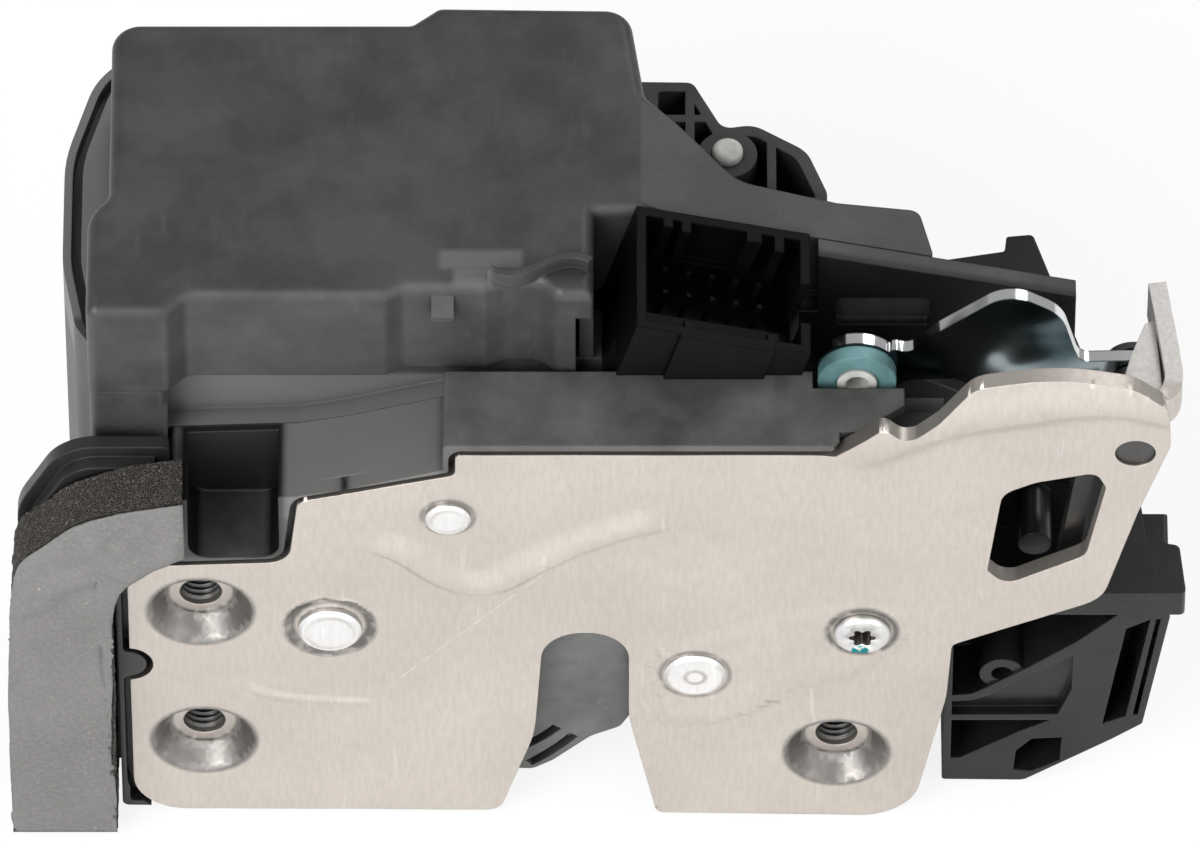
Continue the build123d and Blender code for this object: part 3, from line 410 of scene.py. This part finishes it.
# Painted highlight: the end tab is bent back and faces the light.
END_TAB_HIGHLIGHT = ((130.0, 3.2, 70.0), (None, None, None), 0.66)
SCRATCHES = [(25.9, 12.1, 49.4, 40.0), (79.0, 9.0, 87.0, 14.0)]
plate_finish = metal("plate_zinc", 0.49, 0.46, 0.012, 0.085, FIXING_CONE_SHADE_AND_STAINS + DARK_HEAD_RINGS,
                     [END_TAB_HIGHLIGHT], scratches=SCRATCHES)
rivet_finish = metal("rivet_bright", 0.72, 0.42, 0.006, 0.005, RIVET_MARKS)
screw_finish = metal("screw_bright", 0.62, 0.38, 0.004, 0.01, paint=(93.0, 22.9, 1.1))
thread_finish = metal("thread_steel", 0.10, 0.35, 0.004, 0.02)
dark_steel = metal("dark_steel", 0.22, 0.45, 0.01, 0.02)
# Painted shade for the walls and floor of the screw's recess.
recess_shade_steel = metal("recess_shade_steel", 0.045, 0.5, 0.004, 0.1)
pivot_steel = metal("pivot_steel", 0.09, 0.5, 0.01, 0.02)
# Nearly black: painted shade on the terminal pins deep in the socket.
pin_metal_shaded = metal("pin_metal_shaded", 0.012, 0.6, 0.004, 0.05)
brass_finish = metal("tinned_brass", 0.5, 0.35, 0.01, 0.15)
print(len(FIXING_CONE_SHADE_AND_STAINS + DARK_HEAD_RINGS), "marks and", len(SCRATCHES), "scratches on the plate")


# %% [markdown]
# The release lever is zinc plated over polished steel, so it mirrors its dark surroundings. Low
# broad waves in its surface break the mirror up, and a slight blue comes from the passivation. Its
# colour carries a painted reflection: broad noise blends a dark and a pale bluish tone.


# %% Lever mirror
LEVER_FACES = (13.85, 15.4)
MIRROR_DARK = (0.06, 0.09, 0.10)
MIRROR_PALE = (0.55, 0.61, 0.63)


def lever_mirror():
    """Bluish polished zinc: a dark face with a painted soft reflection in its colour, and bright
    cut edges.
    """
    f = Finish("lever_zinc")
    wave = f.noise(60, 1)
    # Painted reflection: this noise blends the dark and pale mirror tones.
    glow = f.ramp(f.noise(42, 1, (1.0, 1.0, 0.6), shift=0.02), 0.40, 0.60)
    speck = f.ramp(f.noise(800, 3), 0.68, 0.76)
    front, back = LEVER_FACES
    edge = f.inside((None, front, None), (None, back, None), 0.15)
    colour = f.mix(glow, MIRROR_DARK, MIRROR_PALE)
    colour = f.mix(speck * 0.3, colour, grey(0.5))
    colour = f.mix(edge, colour, grey(0.72, -0.01))
    return f.surface(Base_Color=colour, Metallic=1.0,
                     Roughness=0.14 + speck * 0.1,
                     Normal=f.bump(wave, mm(3.0), 0.7))


lever_finish = lever_mirror()
print("lever finish", len(lever_finish.node_tree.nodes), "nodes")


# %% [markdown]
# Open-cell foam is a net of thin walls round pits, and the shade in the pits is painted dark; a few
# pale specks of dust lie on it. The tape is a matt grey film; its surface is finely sanded and has
# gathered some lint.


# %% Foam and tape
def foam_finish():
    """Open-cell foam: painted shade in the pits between pale cell walls."""
    f = Finish("open_cell_foam")
    cells = f.node("ShaderNodeTexVoronoi", {"feature": "DISTANCE_TO_EDGE"},
                   {"Vector": f.place, "Scale": 2600.0})
    pits = f.ramp(cells, 0.02, 0.25)
    speck = f.ramp(f.noise(2100, 1), 0.70, 0.76)
    colour = f.mix(pits, grey(0.075, 0.09), grey(0.010, 0.05))
    colour = f.mix(speck * 0.6, colour, grey(0.30, 0.08))
    return f.surface(Base_Color=colour, Roughness=0.92, Specular_IOR_Level=0.2,
                     Normal=f.bump(1 - pits, mm(0.22), 0.9))


def tape_finish():
    """Grey film tape with dust and fine creases."""
    f = Finish("seal_tape_film")
    cloud = f.noise(70, 4)
    sand = f.noise(1800, 3)
    dust = f.ramp(f.noise(1100, 2, shift=0.7), 0.70, 0.76)
    colour = f.mix(f.ramp(cloud, 0.3, 0.7), grey(0.105, 0.025), grey(0.132, 0.025))
    colour = f.mix(f.ramp(sand, 0.45, 0.66) * 0.5, colour, grey(0.17, 0.03))
    colour = f.mix(dust * 0.5, colour, grey(0.4, 0.08))
    relief = sand * mm(0.05) + f.noise(230, 4) * mm(0.25)
    return f.surface(Base_Color=colour, Roughness=0.62 + (cloud - 0.5) * 0.1,
                     Specular_IOR_Level=0.3, Normal=f.bump(relief, 1.0, 0.5))


foam_look = foam_finish()
tape_look = tape_finish()
print("soft finishes", foam_look.name, tape_look.name)

# %% [markdown]
# The CAD nodes whose shape is right stay as they are and get a finish each. The four that are
# remade further on get one too, so that nothing is left in its grey CAD colour.

# %% Finishes on the CAD nodes
finishes = {
    black_grained: ["actuator_cover"],
    black_tray: ["latch_housing"],
    black_base: ["actuator_base"],
    black_satin_shaded: ["connector_socket"],
    black_gloss: ["side_housing"],
    grey_overmould: ["ratchet"],
    rubber: ["striker_bumper"],
    white_moulding: ["grommet_insert", "lock_pin", "worm_wheel", "lock_lever"],
    plate_finish: ["face_plate", "case_screws"],
    rivet_finish: ["ratchet_rivet", "pawl_rivet", "guide_rivet", "cover_screw",
                   "inside_lever_pin", "lock_motor"],
    pivot_steel: ["lever_pivot_pin"],
    dark_steel: ["back_plate", "ratchet_core", "pawl", "inside_release_lever", "ratchet_spring",
                 "pawl_spring", "wheel_axle", "lock_axle"],
    lever_finish: ["outside_release_lever"],
    pin_metal_shaded: ["terminal_pins"],
    brass_finish: ["worm"],
    teal_look: ["rod_grommet"],
    foam_look: ["foam_seal"],
    tape_look: ["seal_tape"],
}
for finish, names in finishes.items():
    for name in names:
        nodes[name].data.materials.clear()
        nodes[name].data.materials.append(finish)
print(len(finishes), "finishes on", sum(len(names) for names in finishes.values()), "nodes")


# %% [markdown]
# Several pieces are worked further than the CAD: the stamped plate, the screw, the foam and the
# tape. Most start as a plain mesh that is cut by a grid of planes, so that it has points enough
# to be bent, and then every point is moved by a height function written in millimetres. Sculpting
# by hand would look as good, but a function can be read and changed. First come the outlines.


# %% Curves and slabs
def spline(points, per=6):
    """Smooth open curve through flat points, as a list of points."""
    ends = [points[0], *points, points[-1]]
    curve = []
    for a, b, c, d in zip(ends, ends[1:], ends[2:], ends[3:]):
        for i in range(per):
            t = i / per
            curve.append(tuple(
                0.5 * (2 * q + (r - p) * t + (2 * p - 5 * q + 4 * r - s) * t * t
                       + (3 * q - p - 3 * r + s) * t ** 3)
                for p, q, r, s in zip(a, b, c, d)))
    return curve + [points[-1]]


def slab(outline, front, back):
    """Closed plate with that X, Z outline between two depths."""
    shape = bmesh.new()
    rings = [[shape.verts.new(mm(x, y, z)) for x, z in outline] for y in (front, back)]
    count = len(outline)
    for i in range(count):
        j = (i + 1) % count
        shape.faces.new((rings[0][i], rings[0][j], rings[1][j], rings[1][i]))
    caps = [shape.faces.new(ring) for ring in rings]
    bmesh.ops.triangulate(shape, faces=caps)
    bmesh.ops.recalc_face_normals(shape, faces=shape.faces)
    return shape


# %% [markdown]
# A flat face has no points inside it, so it can't be bent. Planes a small step apart cut it into
# squares. A region keeps the fine cuts to the places that need them, which saves time.


# %% Cutting by planes
def cut_grid(shape, step, axes=(0, 2), region=None):
    """Cut the mesh by planes a step apart in millimetres; region is (x, z, x end, z end)."""
    for axis in axes:
        faces = shape.faces[:]
        spread = [v.co[axis] for v in shape.verts]
        low, high = min(spread), max(spread)
        if region:
            low, high = (mm(region[axis // 2 + k]) for k in (0, 2))
            x, z, x_end, z_end = (mm(side) for side in region)
            faces = [face for face in faces if x < face.calc_center_median().x < x_end
                     and z < face.calc_center_median().z < z_end]
        cut = list({edge for face in faces for edge in face.edges}) + faces
        cut += list({point for face in faces for point in face.verts})
        normal = Vector([float(i == axis) for i in range(3)])
        for i in range(1, int((high - low) / mm(step)) + 1):
            cut = bmesh.ops.bisect_plane(shape, geom=cut, dist=1e-7, plane_no=normal,
                                         plane_co=normal * (low + i * mm(step)))["geom"]


# %% [markdown]
# A finished mesh becomes an object. It is shaded smooth, except where two faces meet at a sharp
# angle. It rides on a body of the latch and takes its finish.


# %% Pieces
def piece(name, shape, material, body, crease=35):
    """Turn a bmesh into an object that rides on a body."""
    data = bpy.data.meshes.new(name)
    shape.to_mesh(data)
    shape.free()
    data.shade_smooth()
    data.set_sharp_from_angle(angle=math.radians(crease))
    data.materials.append(material)
    thing = bpy.data.objects.new(name, data)
    bpy.context.scene.collection.objects.link(thing)
    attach(thing, body)
    print(name, len(data.vertices), "points")
    return thing


def copy_of(node):
    """The mesh of a CAD node as a bmesh with its points joined."""
    shape = bmesh.new()
    shape.from_mesh(nodes[node].data)
    bmesh.ops.remove_doubles(shape, verts=shape.verts, dist=1e-6)
    return shape


# %% [markdown]
# Relief is a height worked out for each point. Four small functions are enough for it: an eased
# step, the distance to a line, a test for being inside a loop, and a smooth ripple.


# %% Heights
def smooth(value, low, high):
    """0 below low, 1 above high, eased between."""
    t = min(1.0, max(0.0, (value - low) / (high - low)))
    return t * t * (3 - 2 * t)


def from_line(x, z, line):
    """Distance to a line of points, how far along it (0 to 1), and the side (above is positive)."""
    best = (1e9, 0.0, 1.0)
    for i, ((ax, az), (bx, bz)) in enumerate(zip(line, line[1:])):
        dx, dz = bx - ax, bz - az
        t = min(1.0, max(0.0, ((x - ax) * dx + (z - az) * dz) / (dx * dx + dz * dz)))
        ex, ez = x - ax - t * dx, z - az - t * dz
        away = math.hypot(ex, ez)
        if away < best[0]:
            best = (away, (i + t) / (len(line) - 1), 1.0 if dx * ez - dz * ex > 0 else -1.0)
    return best


def within(x, z, loop):
    """True inside a closed loop of points."""
    crossings = 0
    for (ax, az), (bx, bz) in zip(loop, loop[1:] + loop[:1]):
        if (az > z) != (bz > z) and x < ax + (z - az) * (bx - ax) / (bz - az):
            crossings += 1
    return crossings % 2 == 1


def ripple(x, y, z, size, seed=0.0):
    """Smooth noise from -1 to 1 with features of about that size in millimetres."""
    return noise.noise(Vector((x / size + seed, y / size, z / size - seed)))


# %% [markdown]
# The face plate is stamped from sheet steel. The press leaves an S-shaped bead that stiffens it,
# a short bead between the left holes, a pad under the right rivet and the screw, and a soft fold
# along the top of the arm. The rivets' tails are staked, which squeezes a rough ring round the
# left one. The beads stand proud by half a millimetre, so they show only by their shading.

# %% Lines of the stamping
S_BEAD = spline([(21.9, 45.5), (27.6, 43.4), (33.2, 37.9), (37.2, 35.6), (42.2, 36.1),
                 (47.9, 40.7), (54.1, 45.2), (61.4, 48.9), (65.9, 49.8)], 3)
SHORT_BEAD = spline([(5.2, 13.2), (9.0, 10.9), (13.5, 9.6), (23.1, 8.9)], 3)
PAD = spline([(64.9, 11.7), (64.6, 20.4), (72.6, 24.3), (88.7, 30.8), (93.4, 31.3), (98.1, 29.7),
              (99.1, 26.4), (98.1, 21.5), (93.8, 17.2), (88.7, 14.4), (82.0, 10.7),
              (77.0, 6.8), (72.0, 4.9), (66.9, 4.5), (65.1, 5.6), (64.9, 11.7)], 3)
ARM_FOLD = spline([(84.0, 61.0), (91.0, 62.6), (97.0, 65.4), (102.9, 69.0), (109.1, 71.5),
                   (115.2, 72.8), (121.3, 74.3), (127.4, 74.8), (131.0, 74.0), (137.6, 72.0)], 3)
print("stamping lines with", [len(line) for line in (S_BEAD, SHORT_BEAD, PAD, ARM_FOLD)], "points")

# %% [markdown]
# The relief is a sum. The sheet is never quite flat, each bead adds a rounded ridge that fades at
# its ends, the pad adds a low step, and the arm's fold adds a swell. Each part is worked out only
# near its own line.


# %% Relief of the plate
S_BEAD_RISE = 1.0
SHORT_BEAD_RISE = 0.4
PAD_RISE, PAD_FOOT_RISE = 0.35, 0.45
FOLD_RISE, FOLD_BACK = 2.0, 1.0
STAKE_DENT, STAKE_LIP = 0.35, 0.2


def plate_relief(x, z):
    """How far the plate's front stands proud at a point, in millimetres."""
    height = 0.05 * ripple(x, 0, z, 14) + 0.02 * ripple(x, 0, z, 4)
    if 14 < x < 72 and 30 < z < 55:
        away, along, side = from_line(x, z, S_BEAD)
        taper = smooth(along, 0, 0.15) * smooth(1 - along, 0, 0.12)
        height += S_BEAD_RISE * taper * (1 - smooth(away, 0.2, 5.0 if side > 0 else 1.6))
    if 2 < x < 27 and 5 < z < 17:
        away, along, side = from_line(x, z, SHORT_BEAD)
        height += SHORT_BEAD_RISE * smooth(along, 0, 0.2) * (1 - smooth(away, 0.1, 1.4))
    if 61 < x < 103 and 0 < z < 35:
        away = from_line(x, z, PAD)[0] * (1 if within(x, z, PAD) else -1)
        height += (PAD_RISE + PAD_FOOT_RISE * smooth(18 - z, -8, 8)) * smooth(away, -0.8, 0.4)
    if x > 84 and z > 57:
        away, along, side = from_line(x, z, ARM_FOLD)
        fold = FOLD_RISE * smooth(away * side, -1.6, 3.2)
        fold -= FOLD_BACK * smooth(away * side, 4.0, 10.5)
        height += fold * smooth(x, 86, 98)
    ring = math.hypot(x - LEFT_RIVET[0], z - LEFT_RIVET[1])
    if 4.6 < ring < 8:
        edge = 6.3 + 0.5 * ripple(x, 3, z, 3)
        height -= STAKE_DENT * (1 - smooth(abs(ring - (edge + 4.7) / 2), 0.3, 1.1))
        height += STAKE_LIP * (1 - smooth(abs(ring - edge - 0.3), 0, 0.6))
    return height


# %% [markdown]
# A copy of the plate is cut finely and moved by that relief. The sheet keeps its thickness, so a
# rise is carried to the back of the sheet and fades out behind it, and a dent stays in the front.

# %% Stamped plate
COARSE, FINE = 1.3, 0.65
BEADED = ((2.0, 5.0, 27.0, 16.0), (10.0, 18.0, 26.5, 35.0), (18.0, 32.0, 70.0, 54.0))
FACE_DEPTH = 0.6
RISE_FADES = (2.6, 9.0)

plate = copy_of("face_plate")
cut_grid(plate, COARSE)
for area in BEADED:
    cut_grid(plate, FINE, region=area)
for point in plate.verts:
    x, y, z = (c * 1000 for c in point.co)
    rise = plate_relief(x, z)
    if rise > 0:
        rise *= 1 - smooth(y, *RISE_FADES)
    elif y > FACE_DEPTH:
        rise = 0.0
    point.co.y -= mm(rise)
plate = piece("stamped_plate", plate, plate_finish, "latch", 28)
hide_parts("face_plate")

# %% [markdown]
# Each fixing hole is drawn into a cone and tapped M6. The thread is one helical ridge with a
# triangular section, let into the wall by a few hundredths so that it has no gap behind it. A
# plain tube behind it is the drawn neck. A bump texture would be cheaper, but the ridges show at
# the hole's rim.


# %% Threads in the fixing holes
PITCH = 1.0
THREAD_DEPTHS = (3.6, 9.3)
THREAD_RADII = (3.06, 2.5)
NECK_DEPTHS = (6.05, 9.4)
NECK_RADII = (3.32, 3.0)


def thread(centre, outer, inner, pitch, front, back, steps=36):
    """Helical ridge along Y as a closed mesh."""
    shape = bmesh.new()
    turns = (back - front - pitch) / pitch
    rings = []
    for i in range(int(turns * steps) + 1):
        angle = 2 * math.pi * i / steps
        y = front + pitch * i / steps
        rings.append([shape.verts.new(mm(centre[0] + r * math.cos(angle), y + dy,
                                         centre[1] + r * math.sin(angle)))
                      for r, dy in ((outer, 0.06), (inner, pitch / 2), (outer, pitch - 0.06))])
    for a, b in zip(rings, rings[1:]):
        for i in range(3):
            j = (i + 1) % 3
            shape.faces.new((a[i], a[j], b[j], b[i]))
    shape.faces.new(rings[0])
    shape.faces.new(rings[-1])
    bmesh.ops.recalc_face_normals(shape, faces=shape.faces)
    return shape


def neck(centre, outer, inner, front, back, steps=48):
    """Plain tube along Y as a closed mesh."""
    shape = bmesh.new()
    rings = [[shape.verts.new(mm(centre[0] + r * math.cos(2 * math.pi * i / steps), y,
                                 centre[1] + r * math.sin(2 * math.pi * i / steps)))
              for i in range(steps)]
             for r, y in ((outer, front), (outer, back), (inner, back), (inner, front))]
    for a, b in zip(rings, rings[1:] + rings[:1]):
        for i in range(steps):
            j = (i + 1) % steps
            shape.faces.new((a[i], a[j], b[j], b[i]))
    bmesh.ops.recalc_face_normals(shape, faces=shape.faces)
    return shape


for number, centre in enumerate(FIXINGS, 1):
    piece(f"thread_{number}", thread(centre, *THREAD_RADII, PITCH, *THREAD_DEPTHS), thread_finish,
          "latch", 20)
    piece(f"neck_{number}", neck(centre, *NECK_RADII, *NECK_DEPTHS), thread_finish,
          "latch", 20)

# %% [markdown]
# The cover screw has a pan head with a six-lobe recess. The lobes are a polar curve, and a prism
# on that curve is cut out of a copy of the CAD screw by a Boolean, which keeps both shapes exact.
# Moving the head's points inward instead would round the lobes off.


# %% Cutting tools
LOBES = 6


def lobe_prism(centre, radius, lobe, front, back, steps=72):
    """Six-lobed prism along Y."""
    outline = []
    for i in range(steps):
        angle = 2 * math.pi * i / steps
        r = radius + lobe * math.cos(LOBES * angle)
        outline.append((centre[0] + r * math.cos(angle), centre[1] + r * math.sin(angle)))
    return slab(outline, front, back)


def carve(name, source, cutter, material, body):
    """Copy of a CAD node with a cutter taken out of it."""
    whole = piece(name + "_raw", copy_of(source), material, body, 30)
    data = bpy.data.meshes.new("cutter")
    cutter.to_mesh(data)
    cutter.free()
    tool = bpy.data.objects.new("cutter", data)
    bpy.context.scene.collection.objects.link(tool)
    cut = whole.modifiers.new("cut", "BOOLEAN")
    cut.object = tool
    cut.solver = "EXACT"
    cut.operation = "DIFFERENCE"
    bpy.context.view_layer.update()
    carved = bpy.data.meshes.new_from_object(
        whole.evaluated_get(bpy.context.evaluated_depsgraph_get()))
    bpy.data.objects.remove(tool)
    bpy.data.objects.remove(whole)
    shape = bmesh.new()
    shape.from_mesh(carved)
    thing = piece(name, shape, material, body, 30)
    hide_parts(source)
    return thing


# %% [markdown]
# The walls and floor of the recess lie in shade, so the faces there get the darkest steel as a
# painted shade. They are found by how far they lie from the screw's axis and behind its front.

# %% Six-lobe screw
RECESS_RADIUS, LOBE_HEIGHT = 1.6, 0.32
RECESS_DEPTHS = (-5.0, 0.6)
RECESS_REACH, RECESS_END = 2.2, 2.0
HEAD_SKIN = 0.05

recess = lobe_prism(SCREW, RECESS_RADIUS, LOBE_HEIGHT, *RECESS_DEPTHS)
screw = carve("six_lobe_screw", "cover_screw", recess, screw_finish, "latch")
screw.data.materials.append(recess_shade_steel)
front = min(v.co.y for v in screw.data.vertices)
for face in screw.data.polygons:
    middle = face.center
    away = math.hypot(middle.x - mm(SCREW[0]), middle.z - mm(SCREW[1]))
    if away < mm(RECESS_REACH) and front + mm(HEAD_SKIN) < middle.y < mm(RECESS_END):
        face.material_index = 1
print("screw head front at", round(front * 1000, 2), "mm")

# %% [markdown]
# The seal is a strip of open-cell foam. It is cut from sheet, so its edges are only slightly
# round, but the cells leave the cut faces rough. The faces are divided finely and every point is
# pushed along its normal by cell-sized noise.

# %% Foam seal
FOAM_HALF = 3.9
FOAM_STEP = 0.75
JOINED = 2e-5
OUTER = [(-27.4, -16.0), (-27.5, 0.0), (-27.4, 14.0), (-26.9, 28.0), (-26.3, 40.0),
         (-25.0, 46.5), (-21.2, 50.9), (-17.4, 54.9), (-12.0, 57.6), (-7.0, 59.0), (-2.0, 60.1)]
INNER = [(-2.0, 48.1), (-7.6, 44.0), (-11.9, 37.1), (-12.6, 18.8), (-13.3, -4.0), (-12.5, -16.0)]
OUTLINE = spline(OUTER, 4) + spline(INNER, 4)


def edge_distance(x, z):
    """Distance to the seal's outline."""
    return from_line(x, z, OUTLINE + OUTLINE[:1])[0]


foam = slab(OUTLINE, -FOAM_HALF, FOAM_HALF)
cut_grid(foam, FOAM_STEP, (0, 1, 2))
bmesh.ops.remove_doubles(foam, verts=foam.verts, dist=JOINED)
foam.normal_update()
moves = []
for point in foam.verts:
    x, y, z = (c * 1000 for c in point.co)
    cell = 0.14 * ripple(x, y, z, 0.9) + 0.12 * ripple(x, y, z, 2.2, 5.0)
    sag = 0.25 * ripple(x, y, z, 11)
    moves.append(point.normal * mm(cell + sag - 0.12))
for point, move in zip(foam.verts, moves):
    point.co += move
foam = piece("foam_strip", foam, foam_look, "latch", 80)
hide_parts("foam_seal")

# %% [markdown]
# A film tape covers the foam's front. It was laid by hand round the bend, so it has lifted into
# soft folds near the top, and its cut edge wanders by a few tenths. It is one flat layer with the
# seal's outline, lifted by a height function, and Solidify gives it the film's thickness.

# %% Tape on the seal
TAPE_FRONT = -4.1
TAPE_STEP = 0.7
FILM = 0.25
FOLD_EXTRA = 1.03
FOLDS = [([(-22.5, 40.5), (-19.0, 42.5), (-16.0, 44.0)], 1.8, 0.8),
         ([(-14.5, 51.5), (-12.6, 47.5), (-9.5, 44.8)], 1.9, 1.2),
         ([(-10.0, 50.5), (-6.0, 47.5), (-2.2, 51.0)], 2.2, 0.8),
         ([(-25.5, 36.0), (-21.0, 38.2)], 1.4, 0.6),
         ([(-19.0, 49.0), (-14.5, 52.0)], 1.8, 0.45)]


def tape_rise(x, z):
    """How far the film lifts off the foam, in millimetres."""
    loose = smooth(z, 33, 48)
    rise = 0.08 + 0.10 * (1 + ripple(x, 0, z, 9)) + 0.22 * loose * (1 + ripple(x, 1, z, 5))
    for line, width, height in FOLDS:
        away = from_line(x, z, line)[0]
        rise += height * (1 - smooth(away, 0, width * 1.8))
    return rise


TAPE = [(x + 0.2 * ripple(x, 0, z, 3), z + 0.25 * ripple(x, 2, z, 3)) for x, z in OUTLINE]
tape = bmesh.new()
bmesh.ops.triangulate(tape, faces=[tape.faces.new([tape.verts.new(mm(x, TAPE_FRONT, z))
                                                   for x, z in TAPE])])
cut_grid(tape, TAPE_STEP)
bmesh.ops.remove_doubles(tape, verts=tape.verts, dist=mm(0.1))
for point in tape.verts:
    x, y, z = (c * 1000 for c in point.co)
    point.co.y -= mm(tape_rise(x, z) * smooth(edge_distance(x, z), -0.6, 1.6))
tape.normal_update()
if sum(face.normal.y for face in tape.faces) > 0:
    bmesh.ops.reverse_faces(tape, faces=tape.faces)
tape = piece("tape_film", tape, tape_look, "latch", 60)
film = tape.modifiers.new("film", "SOLIDIFY")
film.thickness = mm(FILM)
film.offset = 1.0
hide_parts("seal_tape")
sides = zip(TAPE, TAPE[1:] + TAPE[:1])
tape_area = abs(sum(ax * bz - bx * az for (ax, az), (bx, bz) in sides)) / 2
print("tape area", round(tape_area), "square millimetres")
mm(26.0)
mm(77.0)
tape_area * FOLD_EXTRA * 1e-6

# %% [markdown]
# The latch lies on a pale floor. The camera sees it nearly white, as on an overlit studio table,
# while its shadow stays and the latch still reflects a plain pale sheet. Mixing a little of the
# floor's own shading with a white glow by the ray's kind does that.

# %% Floor
FLOOR_SIZE = 6.0
FLOOR_GAP = 0.5
FLOOR_GREY = 0.85
FADED = 0.85


def add_floor():
    """Large pale floor under the latch."""
    bpy.ops.mesh.primitive_plane_add(size=FLOOR_SIZE,
                                     location=(0, 0, cad_box[0][2] - mm(FLOOR_GAP)))
    floor = bpy.context.object
    floor.name = "floor"
    f = Finish("pale_floor")
    path = f.node("ShaderNodeLightPath", out="Is Camera Ray")
    plain = f.node("ShaderNodeBsdfDiffuse", inputs={"Color": grey(FLOOR_GREY)})
    glow = f.node("ShaderNodeEmission", inputs={"Color": grey(1.0), "Strength": 1.0})
    both = f.node("ShaderNodeMixShader", inputs={0: path * FADED, 1: plain, 2: glow})
    f.node("ShaderNodeOutputMaterial", inputs={"Surface": both})
    floor.data.materials.append(f.material)


add_floor()

# %% [markdown]
# A large lamp left of the camera does most of the work, a wider one on the right fills its
# shadows, a low one lights the plate's front, and a small one behind picks out the edges. The world
# is white and dim, so that black plastic has something pale to reflect.


# %% Lamps
LAMPS = (("key", 0.8, 22.0, -40, 38), ("fill", 1.4, 11.0, 50, 30),
         ("low", 1.0, 6.0, 0, 14), ("back", 0.5, 3.0, 150, 45))
WORLD_LIGHT = 0.45


def add_lamp(name, size, power, azimuth, elevation, away=1.4):
    """Soft square lamp aimed at the latch."""
    lamp = bpy.data.lights.new(name, "AREA")
    lamp.shape = "SQUARE"
    lamp.size = size
    lamp.energy = power
    thing = bpy.data.objects.new(name, lamp)
    bpy.context.scene.collection.objects.link(thing)
    a, e = math.radians(azimuth), math.radians(elevation)
    aim = mm(*AIM)
    out = Vector((math.sin(a) * math.cos(e), -math.cos(a) * math.cos(e), math.sin(e)))
    thing.location = aim + out * away
    thing.rotation_euler = out.to_track_quat("Z", "Y").to_euler()


for lamp in LAMPS:
    add_lamp(*lamp)
world = bpy.data.worlds.new("studio")
bpy.context.scene.world = world
world.use_nodes = True
background = world.node_tree.nodes["Background"]
background.inputs["Color"].default_value = (1, 1, 1, 1)
background.inputs["Strength"].default_value = WORLD_LIGHT
bpy.context.scene.view_settings.view_transform = "Standard"
print(len(LAMPS), "lamps and a world at", WORLD_LIGHT)
